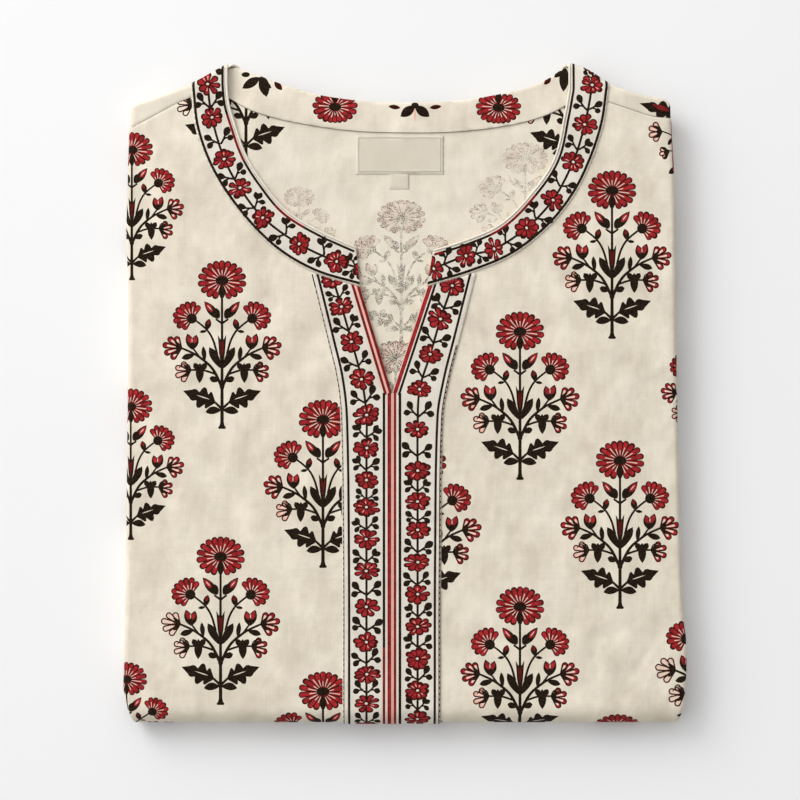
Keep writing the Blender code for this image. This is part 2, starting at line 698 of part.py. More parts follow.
def core_piece():
    """The hidden side folds, sleeves and lower body, as one solid layered at its edges."""
    start = BOTTOM_TURN + CORE_BOTTOM_CLEARANCE
    end = STACK_TOP - STACK_RADIUS - CORE_TOP_CLEARANCE
    stations = [(start + cap.along, cap.inset) for cap in CORE_ENDS]
    first = start + CORE_ENDS[-1].along
    last = end - CORE_ENDS[-1].along
    stations += [(first + (last - first) * i / CORE_STATIONS, 0.0) for i in range(1, CORE_STATIONS)]
    stations += [(end - cap.along, cap.inset) for cap in reversed(CORE_ENDS)]
    bm = bmesh.new()
    rings = [[bm.verts.new(Vector(p) * MM) for p in core_section(y, inset)] for y, inset in stations]
    for before, after in zip(rings, rings[1:]):
        for i, corner in enumerate(before):
            j = (i + 1) % len(before)
            bm.faces.new((corner, before[j], after[j], after[i]))
    bm.faces.new(rings[0][::-1])
    bm.faces.new(rings[-1])
    return add_object("folded_layers", bm, INNER_COTTON)


def main():
    for thing in list(bpy.data.objects):
        bpy.data.objects.remove(thing, do_unlink=True)
    front_piece()
    back_piece()
    band_piece("neckband_left", -1, NECK_EDGE_LEFT, BAND_OUTER_LEFT)
    band_piece("neckband_right", 1, NECK_EDGE_RIGHT, BAND_OUTER_RIGHT)
    placket_piece("placket_left", -1, PLACKET_OUTER_LEFT, BAND_OUTER_LEFT)
    placket_piece("placket_right", 1, PLACKET_OUTER_RIGHT, BAND_OUTER_RIGHT)
    facing_piece()
    patch_piece("label", LABEL)
    patch_piece("size_tab", SIZE_TAB)
    core_piece()


main()
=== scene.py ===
"""The finish of a folded, block-printed cotton kurta: its cloth, prints, seams and thread.

Sizes are in millimetres. Each piece of cloth is cut out flat at (u, v), printed flat, and then
folded: a flat place equals (x, y) on the top face, past a side edge the cloth rolls under, past
the bottom edge it turns round the bottom fold, and past the shoulder fold it turns inside.
"""
import math
import random
from collections import namedtuple

import bmesh
import bpy
import numpy as np
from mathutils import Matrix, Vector
from mathutils.geometry import delaunay_2d_cdt


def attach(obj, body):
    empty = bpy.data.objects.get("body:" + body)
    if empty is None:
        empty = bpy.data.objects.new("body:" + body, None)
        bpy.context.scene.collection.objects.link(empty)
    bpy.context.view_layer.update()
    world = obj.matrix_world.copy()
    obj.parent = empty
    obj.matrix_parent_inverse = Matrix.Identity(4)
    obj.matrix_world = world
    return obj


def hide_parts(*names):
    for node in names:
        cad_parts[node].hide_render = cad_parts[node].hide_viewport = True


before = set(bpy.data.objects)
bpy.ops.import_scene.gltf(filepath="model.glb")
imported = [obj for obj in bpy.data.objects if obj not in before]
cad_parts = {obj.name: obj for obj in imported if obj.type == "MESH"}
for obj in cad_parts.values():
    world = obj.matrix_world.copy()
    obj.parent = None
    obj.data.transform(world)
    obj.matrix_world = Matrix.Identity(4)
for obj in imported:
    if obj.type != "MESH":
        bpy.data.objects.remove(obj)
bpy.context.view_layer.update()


def named_rows(kind, *rows):
    """A table whose rows have named columns."""
    return tuple(kind(*row) for row in rows)


# ---------------------------------------------------------------- sizes of the folded garment
MM = 0.001
STORY = 5.4
TOP_FACE = 17.6
SIDE_RADIUS = STORY / 2
SIDE_TUCK = 11.0
CROWN = 0.8
CROWN_REACH = 30.0
FAR_OUT = 120.0
SHOULDER_RADIUS = 2.0
BOTTOM_RADIUS = TOP_FACE / 2
BOTTOM_TURN = -177.6 + BOTTOM_RADIUS
STACK_RADIUS = 5.55
STACK_TURN = math.radians(165)
STACK_TOP = 154.0
UNDER_INSET = 1.2
BACK_RISE = 1.7
BACK_RISE_REACH = 25.0
BACK_LOW_END = -12.0
CORNER_TURN = math.radians(57)
STACK_CORNER_TURN = math.pi * 5 / 8
LIP_CLEARANCE = 4.0
BAND_TUCK = 9.0
PLACKET_TURN = math.radians(125)
CENTRE_LINE = -7.0
SLIT_TIP_Y = 1.1
UNDER_START = BOTTOM_TURN - math.pi * BOTTOM_RADIUS
STACK_START = UNDER_START - (STACK_TOP - STACK_RADIUS - BOTTOM_TURN)
UNDER_JOIN = UNDER_START - 9.0

# Cloth as it is seen: thinner than the walls that carry it.
CLOTH = 0.5
BACK_CLOTH = 1.0
JOIN_GAP = 0.06
SEAM_GAP = 0.13
BAND_HEIGHT = 0.95
BAND_EDGE_HEIGHT = 0.3
BAND_UNDERSIDE = 0.12
FACING_BASE = 1.08
FACING_HEIGHT = 1.95
LABEL_HEIGHT = 1.75
TAB_HEIGHT = 1.5
PIPING_RADIUS = 0.62
THREAD_RADIUS = 0.17

EdgePoint = namedtuple("EdgePoint", "x y")
SideEdge = namedtuple("SideEdge", "y left right")
SIDE_EDGES = named_rows(
    SideEdge, (-176.0, -148.8, 149.3), (-169.0, -150.3, 150.8), (-159.0, -152.3, 151.8),
    (-146.0, -152.0, 152.4), (-131.0, -151.7, 152.0), (-121.0, -151.4, 150.7), (-89.0, -150.9, 149.3),
    (-40.0, -150.5, 148.0), (51.0, -149.6, 146.5), (86.0, -150.8, 146.3), (115.0, -150.1, 145.8),
    (138.0, -149.4, 144.6), (157.0, -148.2, 143.7))
SHOULDER_FOLD = named_rows(
    EdgePoint, (-148.2, 156.6), (-131.8, 162.0), (-111.8, 169.6), (-102.0, 175.2), (-95.5, 178.4),
    (-89.0, 179.0), (86.0, 178.8), (93.0, 177.8), (102.0, 173.5), (109.6, 168.5), (127.4, 162.5),
    (139.3, 160.4), (143.6, 158.5))
SHOULDER_SEAM_LEFT = named_rows(
    EdgePoint, (-147.2, 144.8), (-131.8, 153.1), (-120.6, 158.8), (-108.0, 163.6), (-96.4, 167.6))
SHOULDER_SEAM_RIGHT = named_rows(
    EdgePoint, (143.0, 149.6), (132.8, 150.9), (124.0, 153.7), (110.2, 158.2), (88.9, 165.0))
NECK_EDGE_LEFT = named_rows(
    EdgePoint, (-96.4, 167.6), (-95.4, 157.7), (-92.7, 148.0), (-86.0, 129.3), (-76.4, 113.9),
    (-64.3, 99.6), (-47.0, 88.8), (-26.5, 79.4))
NECK_EDGE_RIGHT = named_rows(
    EdgePoint, (88.9, 165.0), (86.6, 152.3), (80.7, 127.2), (67.2, 107.2), (51.3, 91.8), (32.9, 83.4),
    (15.1, 77.8))
BAND_OUTER_LEFT = named_rows(
    EdgePoint, (-115.8, 166.0), (-113.1, 143.7), (-104.3, 120.4), (-88.6, 97.1), (-69.7, 78.2),
    (-48.6, 65.9), (-24.3, 58.6))
BAND_OUTER_RIGHT = named_rows(
    EdgePoint, (110.4, 166.0), (107.7, 147.3), (102.2, 129.6), (93.2, 110.4), (79.8, 92.6),
    (59.5, 76.0), (36.3, 65.9), (11.9, 58.6))
PLACKET_OUTER_LEFT = named_rows(
    EdgePoint, (-50.8, 65.0), (-41.7, 28.3), (-37.2, 8.9), (-34.9, -11.9), (-33.8, -89.0),
    (-33.7, -168.0))
PLACKET_OUTER_RIGHT = named_rows(
    EdgePoint, (38.6, 65.0), (29.6, 29.4), (24.4, 8.9), (20.9, -11.9), (19.6, -89.0), (19.4, -168.0))
BACK_NECK_EDGE = named_rows(
    EdgePoint, (-89.1, 176.4), (-80.5, 173.4), (-64.3, 167.4), (-43.0, 161.6), (-10.3, 158.2),
    (29.7, 159.3), (58.3, 164.3), (74.5, 169.6), (84.0, 175.6))
FACING_LOWER_EDGE = named_rows(
    EdgePoint, (-96.2, 161.0), (-93.6, 159.4), (-82.6, 153.4), (-64.3, 148.0), (-32.4, 142.9),
    (-5.9, 141.6), (27.0, 142.0), (54.0, 145.1), (74.0, 150.1), (86.0, 155.6), (88.6, 157.0))
FACING_END_LEFT = named_rows(EdgePoint, (-96.8, 177.2), (-93.4, 178.2), (-90.8, 177.6))
FACING_END_RIGHT = named_rows(EdgePoint, (87.0, 177.6), (90.6, 177.2))
Patch = namedtuple("Patch", "left right bottom top")
LABEL = Patch(left=-26.5, right=20.9, bottom=119.1, top=140.4)
SIZE_TAB = Patch(left=-8.6, right=2.2, bottom=111.2, top=119.7)

# ---------------------------------------------------------------- creases of the pressed cloth
Swell = namedtuple("Swell", "x y length width angle height")
SWELLS = named_rows(
    Swell, (-122.0, 62.0, 46.0, 15.0, 80.0, 0.35), (98.0, 22.0, 52.0, 17.0, 105.0, 0.30),
    (-78.0, -52.0, 48.0, 15.0, 12.0, -0.30), (84.0, -98.0, 44.0, 14.0, 160.0, 0.35),
    (-96.0, -128.0, 40.0, 14.0, 60.0, 0.30), (126.0, -150.0, 22.0, 9.0, 80.0, 0.35),
    (-96.0, 181.0, 17.0, 17.0, 0.0, -1.2), (92.0, 181.0, 17.0, 17.0, 0.0, -1.2))
CREASES = named_rows(
    Swell, (-134.0, 120.0, 16.0, 2.6, 72.0, -0.16), (-126.0, 98.0, 22.0, 3.4, 58.0, 0.15),
    (-118.0, 30.0, 26.0, 3.8, 8.0, -0.14), (-140.0, 4.0, 13.0, 2.8, 20.0, 0.18),
    (-104.0, 8.0, 17.0, 3.0, -24.0, 0.12), (-82.0, 38.0, 20.0, 3.6, 36.0, -0.13),
    (-64.0, 16.0, 15.0, 2.9, 74.0, 0.14), (-58.0, -46.0, 18.0, 3.1, -64.0, -0.15),
    (-122.0, -44.0, 24.0, 3.9, -12.0, 0.17), (-138.0, -74.0, 14.0, 2.7, 32.0, -0.16),
    (-72.0, -78.0, 22.0, 3.3, 18.0, 0.14), (-116.0, -104.0, 18.0, 3.0, 66.0, -0.13),
    (-58.0, -116.0, 16.0, 2.8, 84.0, 0.16), (-84.0, -146.0, 20.0, 3.2, -8.0, -0.18),
    (-132.0, -136.0, 15.0, 2.9, -38.0, 0.19), (-140.0, -158.0, 10.0, 2.3, 52.0, -0.22),
    (44.0, 8.0, 19.0, 3.2, 80.0, -0.14), (62.0, -14.0, 24.0, 3.8, -16.0, 0.13),
    (88.0, 62.0, 18.0, 3.0, 40.0, -0.15), (124.0, 70.0, 21.0, 3.5, -10.0, 0.14),
    (134.0, 126.0, 14.0, 2.6, 64.0, -0.17), (118.0, 138.0, 12.0, 2.4, -30.0, 0.16),
    (136.0, 14.0, 16.0, 2.9, 28.0, 0.15), (92.0, -4.0, 22.0, 3.6, 66.0, -0.12),
    (48.0, -62.0, 18.0, 3.0, -72.0, 0.15), (86.0, -64.0, 25.0, 4.0, 6.0, -0.15),
    (132.0, -70.0, 17.0, 2.9, -42.0, 0.18), (42.0, -128.0, 16.0, 2.7, 68.0, -0.14),
    (96.0, -128.0, 20.0, 3.3, 24.0, 0.16), (128.0, -143.0, 15.0, 2.3, 58.0, -0.32),
    (134.0, -151.0, 14.0, 2.1, 48.0, 0.30), (125.0, -158.0, 12.0, 2.0, 36.0, -0.24),
    (141.0, -163.0, 9.0, 1.9, 64.0, 0.22), (62.0, -158.0, 17.0, 2.8, -6.0, 0.17),
    (-30.0, 196.0, 30.0, 5.0, 74.0, -0.20), (-34.0, 215.0, 30.0, 5.0, 78.0, -0.18),
    (26.0, 226.0, 34.0, 5.4, 96.0, 0.20), (58.0, 214.0, 26.0, 4.6, 70.0, -0.20),
    (-62.0, 238.0, 24.0, 4.4, 110.0, 0.18), (8.0, 262.0, 28.0, 4.8, 84.0, -0.16),
    (-92.0, 197.0, 15.0, 9.0, 90.0, -1.5), (-86.0, 230.0, 22.0, 16.0, 65.0, 0.9))
CREASE_DEPTH = 1.5
PUCKER_PITCH = 7.0
PUCKER_LENGTH = 6.5
PUCKER_WIDTH = 1.6
PUCKER_HEIGHT = 0.16
PUCKER_LEAN = 24

# ---------------------------------------------------------------- inks and colours
Ink = namedtuple("Ink", "red black pale", defaults=(0.0, 0.0, 0.0))
RED = Ink(red=1.0)
BLACK = Ink(black=1.0)
OUTLINE = Ink(red=1.0, black=0.90)
DARK_RED = Ink(red=1.0, black=0.45)
DIM_RED = Ink(red=1.0, black=0.72)
BARE = Ink()
PEACH = Ink(red=0.46)
BLUSH = Ink(red=0.22)
GLINT = Ink(red=0.10)
# Brown for the label's woven frame; also the painted shadow line along the facing's lower edge.
FRAME_AND_SHADOW_BROWN = Ink(black=0.55)
Shape = namedtuple("Shape", "points ink")

GRID = 2.2
FINE_GRID = 1.2
COARSE_GRID = 6.0
POINT_CLEARANCE = 0.45
CUT_MERGE = 1e-3
RIM_TRIES = 4


# ---------------------------------------------------------------- curves
def smooth_value(at, places, values):
    """Value at a place on the smooth curve through a table, held level past its ends."""
    if at <= places[0]:
        return values[0]
    if at >= places[-1]:
        return values[-1]
    last = len(places) - 1
    row = max(i for i in range(last) if places[i] <= at)
    span = places[row + 1] - places[row]
    share = (at - places[row]) / span

    def slope(i):
        before = max(i - 1, 0)
        after = min(i + 1, last)
        return (values[after] - values[before]) / (places[after] - places[before])

    rise = values[row + 1] - values[row]
    start = slope(row) * span
    end = slope(row + 1) * span
    return (values[row] + start * share + (3 * rise - 2 * start - end) * share ** 2
            + (start + end - 2 * rise) * share ** 3)


def smooth_path(points, step):
    """Points along the smooth plane curve through the given points, about a step apart."""
    places = [0.0]
    for before, after in zip(points, points[1:]):
        places.append(places[-1] + math.dist(before, after))
    count = max(2, round(places[-1] / step))
    marks = [places[-1] * i / count for i in range(count + 1)]
    xs = [p[0] for p in points]
    ys = [p[1] for p in points]
    return [(smooth_value(m, places, xs), smooth_value(m, places, ys)) for m in marks]


def table_curve(rows, key, column, samples=500):
    """A table's smooth curve as a function of whole arrays of places."""
    places = [getattr(row, key) for row in rows]
    values = [getattr(row, column) for row in rows]
    dense = np.linspace(places[0], places[-1], samples)
    heights = [smooth_value(place, places, values) for place in dense]
    return lambda at: np.interp(at, dense, heights)


def ease(share):
    """Smooth step from 0 to 1, for numbers or arrays."""
    share = np.clip(share, 0.0, 1.0)
    return share * share * (3 - 2 * share)


def spread(start, end, step):
    """Evenly spaced values from start to end, at most about a step apart."""
    count = max(1, math.ceil(abs(end - start) / step))
    return [start + (end - start) * i / count for i in range(count + 1)]


def offset_path(path, distance):
    """A path moved sideways: to its left for a positive distance."""
    moved = []
    for i, (x, y) in enumerate(path):
        before = path[max(i - 1, 0)]
        after = path[min(i + 1, len(path) - 1)]
        length = math.dist(before, after) or 1.0
        moved.append((x - (after[1] - before[1]) / length * distance,
                      y + (after[0] - before[0]) / length * distance))
    return moved


def path_distance(u, v, path):
    """Distance of flat places from a path, for whole arrays of places."""
    best = np.full(len(u), 1e6)
    for (x1, y1), (x2, y2) in zip(path, path[1:]):
        run = (x2 - x1) ** 2 + (y2 - y1) ** 2 or 1.0
        share = np.clip(((u - x1) * (x2 - x1) + (v - y1) * (y2 - y1)) / run, 0.0, 1.0)
        best = np.minimum(best, np.hypot(u - x1 - share * (x2 - x1), v - y1 - share * (y2 - y1)))
    return best


# ---------------------------------------------------------------- the fold path
SHOULDER_Y = table_curve(SHOULDER_FOLD, "x", "y")
LEFT_EDGE = table_curve(SIDE_EDGES, "y", "left")
RIGHT_EDGE = table_curve(SIDE_EDGES, "y", "right")


def shoulder_start(u):
    """Height up the garment where the top face starts to roll over the shoulder fold."""
    return SHOULDER_Y(u) - SHOULDER_RADIUS


def inside_v(u, y):
    """Flat place, past the shoulder fold, of a point on the inside layer."""
    return 2 * shoulder_start(u) + math.pi * SHOULDER_RADIUS - y


def hills(rows, x, y):
    """Height of a table of soft swells and hollows at whole arrays of places."""
    height = np.zeros(np.shape(x))
    for swell in rows:
        turn = math.radians(swell.angle)
        along = (x - swell.x) * math.cos(turn) + (y - swell.y) * math.sin(turn)
        across = (y - swell.y) * math.cos(turn) - (x - swell.x) * math.sin(turn)
        height = height + swell.height * np.exp(-(along / swell.length) ** 2
                                                - (across / swell.width) ** 2)
    return height


FoldSpot = namedtuple("FoldSpot", "y z ny nz face_up")


def fold_spot(u, v):
    """Where the outer face lies along the fold path, and which way it faces there."""
    shoulder = shoulder_start(u)
    turn = np.clip((v - shoulder) / SHOULDER_RADIUS, 0.0, math.pi)
    run = np.maximum(v - shoulder - math.pi * SHOULDER_RADIUS, 0.0)
    rise = BACK_RISE * ease(run / BACK_RISE_REACH)
    over = FoldSpot(shoulder + SHOULDER_RADIUS * np.sin(turn) - run,
                    TOP_FACE - SHOULDER_RADIUS * (1 - np.cos(turn)) + rise,
                    np.sin(turn), np.cos(turn), 1.0)
    bend = np.clip((BOTTOM_TURN - v) / BOTTOM_RADIUS, 0.0, math.pi)
    under_run = np.maximum(UNDER_START - v, 0.0)
    stack = np.clip((STACK_START - v) / STACK_RADIUS, 0.0, STACK_TURN)
    flat_run = np.minimum(under_run, UNDER_START - STACK_START)
    under = FoldSpot(BOTTOM_TURN - BOTTOM_RADIUS * np.sin(bend) + flat_run
                     + STACK_RADIUS * np.sin(stack),
                     BOTTOM_RADIUS * (1 + np.cos(bend)) + STACK_RADIUS * (1 - np.cos(stack)),
                     np.sin(stack) - np.sin(bend), np.where(stack > 0, -np.cos(stack), np.cos(bend)),
                     (1 + np.cos(bend)) / 2)
    flat = FoldSpot(y=v, z=TOP_FACE, ny=0.0, nz=1.0, face_up=1.0)
    return FoldSpot(*[np.where(v > shoulder, a, np.where(v < BOTTOM_TURN, b, c))
                      for a, b, c in zip(over, under, flat)])


def side_reach(side, spot):
    """Flat half width on one side, where the side roll starts."""
    edge = np.where(side > 0, RIGHT_EDGE(spot.y), -LEFT_EDGE(spot.y))
    return edge - SIDE_RADIUS - UNDER_INSET * (1 - spot.face_up)


def place(u, v, depth):
    """Points of the cloth in space, in metres: depth is how far below the outer face they lie."""
    u = np.asarray(u, dtype=float)
    v = np.asarray(v, dtype=float)
    spot = fold_spot(u, v)
    side = np.where(u > 0, 1.0, -1.0)
    reach = side_reach(side, spot)
    over = np.abs(u) - reach
    turn = np.clip(over / SIDE_RADIUS, 0.0, math.pi)
    x = side * (np.minimum(np.abs(u), reach) + SIDE_RADIUS * np.sin(turn))
    x = x - side * np.maximum(over - math.pi * SIDE_RADIUS, 0.0)
    drop = SIDE_RADIUS * (1 - np.cos(turn))
    lift = hills(SWELLS, x, spot.y) - CROWN * ease(1 + over / CROWN_REACH)
    lift = spot.face_up * (lift + CREASE_DEPTH * hills(CREASES + PUCKERS, u, v))
    facing = np.cos(turn)
    sink = drop + facing * depth
    return np.stack([x - side * np.sin(turn) * depth, spot.y - spot.ny * sink,
                     spot.z - spot.nz * sink + lift], axis=-1) * MM


def roll_reach(side, v, turn, tuck=0.0):
    """Flat place across the cloth at a given turn of its side roll, and a tuck past it."""
    spot = fold_spot(np.array([side * FAR_OUT]), np.array([v]))
    return float(side * (side_reach(side, spot)[0] + SIDE_RADIUS * turn + tuck))


def seam_puckers(paths):
    """Short uneven gathers of cloth across each seam."""
    rng = random.Random(11)
    puckers = []
    for path in paths:
        reach = rng.uniform(0.0, PUCKER_PITCH)
        for before, after in zip(path, path[1:]):
            reach -= math.dist(before, after)
            if reach > 0:
                continue
            reach = PUCKER_PITCH * rng.uniform(0.5, 1.7)
            along = math.degrees(math.atan2(after[1] - before[1], after[0] - before[0]))
            puckers.append(Swell(
                x=before[0], y=before[1], length=PUCKER_LENGTH * rng.uniform(0.6, 1.6),
                width=PUCKER_WIDTH * rng.uniform(0.7, 1.5),
                angle=along + 90 + rng.uniform(-PUCKER_LEAN, PUCKER_LEAN),
                height=PUCKER_HEIGHT * rng.choice((-1, -1, 1)) * rng.uniform(0.5, 1.3)))
    return tuple(puckers)


PUCKERS = seam_puckers([smooth_path(edge, 1.0) for edge in (
    BAND_OUTER_LEFT, BAND_OUTER_RIGHT, PLACKET_OUTER_LEFT[1:], PLACKET_OUTER_RIGHT[1:],
    SHOULDER_SEAM_LEFT, SHOULDER_SEAM_RIGHT)])


# ---------------------------------------------------------------- printed shapes
def petal(angle, start, end, base, tip, ink, stretch=(1.0, 1.0), rounds=7):
    """One petal: narrow at the heart of its flower, round at its tip."""
    points = [(start, base / 2), (end - tip / 2, tip / 2)]
    points += [(end - tip / 2 + math.cos(a) * tip / 2, math.sin(a) * tip / 2)
               for a in (math.pi / 2 - math.pi * i / rounds for i in range(1, rounds))]
    points += [(end - tip / 2, -tip / 2), (start, -base / 2)]
    turn = math.radians(angle)
    return Shape([((r * math.cos(turn) - s * math.sin(turn)) * stretch[0],
                   (r * math.sin(turn) + s * math.cos(turn)) * stretch[1]) for r, s in points], ink)


def printed_petal(angle, start, end, width, slit, tip):
    """A red petal with its dark outline, darker at some tips, and the bare slit at its heart."""
    edge = min(0.55, width * 0.16)
    slit_start = start + (end - start) * 0.16
    slit_end = start + (end - start) * (0.16 + slit)
    slit_ink = BARE if slit > 0.4 else GLINT
    return [petal(angle, start, end, width * 0.5, width, OUTLINE),
            petal(angle, start + edge, end - edge * tip, width * 0.3, width - 2 * edge, RED),
            petal(angle, slit_start, slit_end, width * 0.08, width * 0.13, slit_ink, rounds=4)]


def oval(x, y, across, up, ink, count=14):
    """A round or oval dot."""
    turns = [2 * math.pi * i / count for i in range(count)]
    return Shape([(x + math.cos(a) * across / 2, y + math.sin(a) * up / 2) for a in turns], ink)


def leaf(base, tip, width, ink, belly=0.5, bend=0.0, count=7):
    """A pointed leaf from base to tip, widest at its belly and bent to one side."""
    length = math.dist(base, tip)
    along = ((tip[0] - base[0]) / length, (tip[1] - base[1]) / length)
    left = []
    right = []
    for i in range(count + 1):
        t = i / count
        swell = (t / belly if t < belly else (1 - t) / (1 - belly))
        half = width / 2 * math.sin(math.pi / 2 * swell) ** 0.8
        shift = bend * math.sin(math.pi * t)
        cx = base[0] + along[0] * length * t - along[1] * shift
        cy = base[1] + along[1] * length * t + along[0] * shift
        left.append((cx - along[1] * half, cy + along[0] * half))
        right.append((cx + along[1] * half, cy - along[0] * half))
    return Shape(right + left[-2:0:-1], ink)


TOOTH = ((0.16, 0.50), (0.55, 0.90), (0.82, 1.04), (1.02, 0.92))


def toothed_leaf(base, tip, width, teeth, ink, belly=0.42):
    """A broad leaf whose edges are cut into forward-pointing teeth."""
    length = math.dist(base, tip)
    along = ((tip[0] - base[0]) / length, (tip[1] - base[1]) / length)
    sides = {1: [], -1: []}
    for side, edge in sides.items():
        for i in range(teeth):
            for start, reach in TOOTH:
                t = (i + start) / (teeth + 0.9)
                swell = math.sin(math.pi / 2 * t / belly) if t < belly else (1 - t) / (1 - belly)
                half = side * width / 2 * reach * min(max(swell, 0.16), 1.0)
                edge.append((base[0] + along[0] * length * t - along[1] * half,
                             base[1] + along[1] * length * t + along[0] * half))
    return Shape([base] + sides[-1] + [tip] + sides[1][::-1], ink)


def stroke(points, start_width, end_width, ink, step=1.6):
    """A drawn line of changing width along a smooth path."""
    path = smooth_path(points, step)
    last = len(path) - 1
    widths = [start_width + (end_width - start_width) * i / last for i in range(last + 1)]
    left = [offset_path(path, w / 2)[i] for i, w in enumerate(widths)]
    right = [offset_path(path, -w / 2)[i] for i, w in enumerate(widths)]
    return Shape(right + left[::-1], ink)


def band_between(path, near, far, ink):
    """A stripe along a path, between two distances from it."""
    return Shape(offset_path(path, near) + offset_path(path, far)[::-1], ink)


def placed(shapes, x, y, turn=0.0, size=1.0, mirror=False):
    """Printed shapes turned, sized and moved to their place on the cloth."""
    c = math.cos(math.radians(turn)) * size
    s = math.sin(math.radians(turn)) * size
    flip = -1 if mirror else 1
    return [Shape([(x + flip * px * c - py * s, y + flip * px * s + py * c) for px, py in shape.points],
                  shape.ink) for shape in shapes]


PETAL_SLITS = (0.46, 0.30, 0.38, 0.52, 0.24, 0.42, 0.34)
PETAL_TIPS = (1.0, 2.0, 1.2, 1.0, 1.7)
FAN_PETALS = ((-52, 7.6), (-30, 9.4), (-8, 10.2), (12, 10.6), (32, 10.3), (52, 9.8), (73, 9.6),
              (96, 9.4), (120, 8.2))


def petal_wear(i):
    """How far the bare slit and the dark tip of one petal in a row reach."""
    return {"slit": PETAL_SLITS[i % len(PETAL_SLITS)], "tip": PETAL_TIPS[i % len(PETAL_TIPS)]}


def carnation(petals=17, gap=48.0, reach=13.3, low_trim=0.24, high_trim=0.16):
    """The round top flower: petals all round its black heart but for the gap at its stem."""
    shapes = []
    for i in range(petals):
        angle = -90 + gap / 2 + (360 - gap) * i / (petals - 1)
        low = max(-math.sin(math.radians(angle)), 0.0)
        high = max(math.sin(math.radians(angle)), 0.0)
        end = reach * (1 - low_trim * low ** 2 - high_trim * high ** 2)
        shapes += printed_petal(angle, 1.4, end, 3.5, **petal_wear(i))
    shapes.append(oval(0.0, 0.2, 7.2, 4.6, BLACK, 16))
    shapes.append(leaf((0.0, -10.2), (0.0, -1.4), 3.6, BLACK, belly=0.48))
    return shapes


def side_carnation():
    """The half-open flower on a side stem, fanned up and outwards to the right."""
    shapes = []
    for i, (angle, reach) in enumerate(FAN_PETALS):
        shapes += printed_petal(angle, 1.2, reach, 3.3, **petal_wear(i))
    shapes.append(oval(0.0, 0.0, 5.6, 5.6, BLACK))
    return shapes


def open_bud(petals, width, ink=RED):
    """A bud opening into a few petals, bare at the heart, with thin dark sepals round it."""
    shapes = []
    for angle, reach in petals:
        shapes.append(petal(angle, 0.2, reach, width * 0.34, width, OUTLINE))
        shapes.append(petal(angle, reach * 0.40, reach - 0.7, width * 0.3, width - 1.5, ink))
        shapes.append(petal(angle, reach * 0.30, reach * 0.76, 0.4, width * 0.32, GLINT, rounds=4))
    shapes.append(leaf((0.2, 0.0), (3.8, 3.4), 1.7, BLACK, bend=0.4))
    shapes.append(leaf((0.2, 0.0), (3.8, -3.4), 1.7, BLACK, bend=-0.4))
    shapes.append(oval(1.1, 0.0, 3.4, 3.2, BLACK, 8))
    return shapes


def butta_half(upper_ink, lower_ink):
    """The right-hand side growth of the block print's plant, with its two open buds' inks."""
    shapes = [
        stroke([(16.2, -19.8), (8.3, -26.3), (4.9, -31.8), (2.6, -39.6)], 1.0, 1.25, BLACK),
        stroke([(0.2, -57.0), (5.3, -47.2), (12.0, -41.3), (16.6, -38.6), (22.0, -36.2)], 1.7, 1.1,
               BLACK),
        stroke([(3.8, -50.2), (10.0, -48.3), (17.5, -48.1)], 1.2, 1.0, BLACK),
        stroke([(11.9, -41.5), (15.6, -36.4)], 1.1, 0.95, BLACK, 1.2),
        stroke([(0.2, -22.8), (3.4, -20.6)], 1.3, 1.0, BLACK, 1.0),
        leaf((1.8, -20.6), (9.6, -11.0), 4.7, BLACK, belly=0.46),
        leaf((1.4, -20.2), (3.4, -14.6), 2.8, BLACK, belly=0.6),
        leaf((5.0, -16.8), (9.0, -11.9), 2.9, RED, belly=0.5),
        leaf((5.6, -15.8), (8.0, -13.0), 0.6, BLUSH),
        leaf((8.4, -26.8), (6.8, -20.4), 3.5, BLACK, belly=0.55),
        leaf((7.8, -23.8), (6.9, -21.0), 1.7, DARK_RED, belly=0.5),
        leaf((8.2, -27.0), (12.2, -27.6), 1.7, BLACK),
        leaf((15.9, -37.2), (13.7, -29.0), 4.3, BLACK, belly=0.5),
        leaf((15.9, -37.2), (18.8, -28.4), 4.4, BLACK, belly=0.5),
        leaf((15.2, -33.8), (14.0, -29.8), 2.3, RED),
        leaf((16.8, -33.8), (18.4, -29.2), 2.4, RED),
        leaf((16.2, -33.4), (16.2, -30.6), 0.5, BLUSH),
        leaf((14.6, -39.8), (21.9, -41.8), 3.3, BLACK, belly=0.6),
        leaf((9.3, -43.6), (10.2, -35.2), 2.6, BLACK, belly=0.55),
        leaf((0.3, -47.6), (6.9, -35.7), 4.4, BLACK, belly=0.62),
        leaf((2.4, -43.4), (3.6, -37.6), 2.0, BLACK, belly=0.55),
        leaf((0.8, -53.6), (6.8, -52.4), 3.4, BLACK, belly=0.68, bend=-0.3),
        leaf((12.1, -55.2), (11.9, -44.2), 4.4, BLACK, belly=0.5),
        leaf((11.6, -49.0), (8.4, -44.2), 3.2, BLACK, belly=0.62),
        leaf((12.2, -48.6), (15.2, -44.4), 3.2, BLACK, belly=0.62),
        stroke([(0.4, -68.8), (4.4, -65.0)], 1.5, 1.1, BLACK, 1.2),
        toothed_leaf((3.0, -66.0), (21.1, -59.3), 12.4, 3, BLACK),
        leaf((6.6, -64.0), (13.8, -61.6), 0.55, BARE, belly=0.4),
        leaf((0.4, -69.8), (9.0, -70.8), 4.2, BLACK, belly=0.55, bend=0.5),
    ]
    shapes += placed(side_carnation(), 16.3, -20.3)
    upper = open_bud(((64, 7.0), (38, 9.2), (10, 10.4), (-18, 9.8), (-48, 8.2)), 3.7, upper_ink)
    lower = open_bud(((46, 6.6), (14, 8.4), (-20, 8.6), (-52, 7.4)), 3.5, lower_ink)
    shapes += placed(upper, 22.0, -36.2) + placed(lower, 17.2, -48.6)
    tendril = [(16.8, -48.2), (18.2, -45.2), (21.6, -45.0), (23.2, -47.0)]
    return shapes + [stroke(tendril, 0.8, 0.5, BLACK, 1.2)]


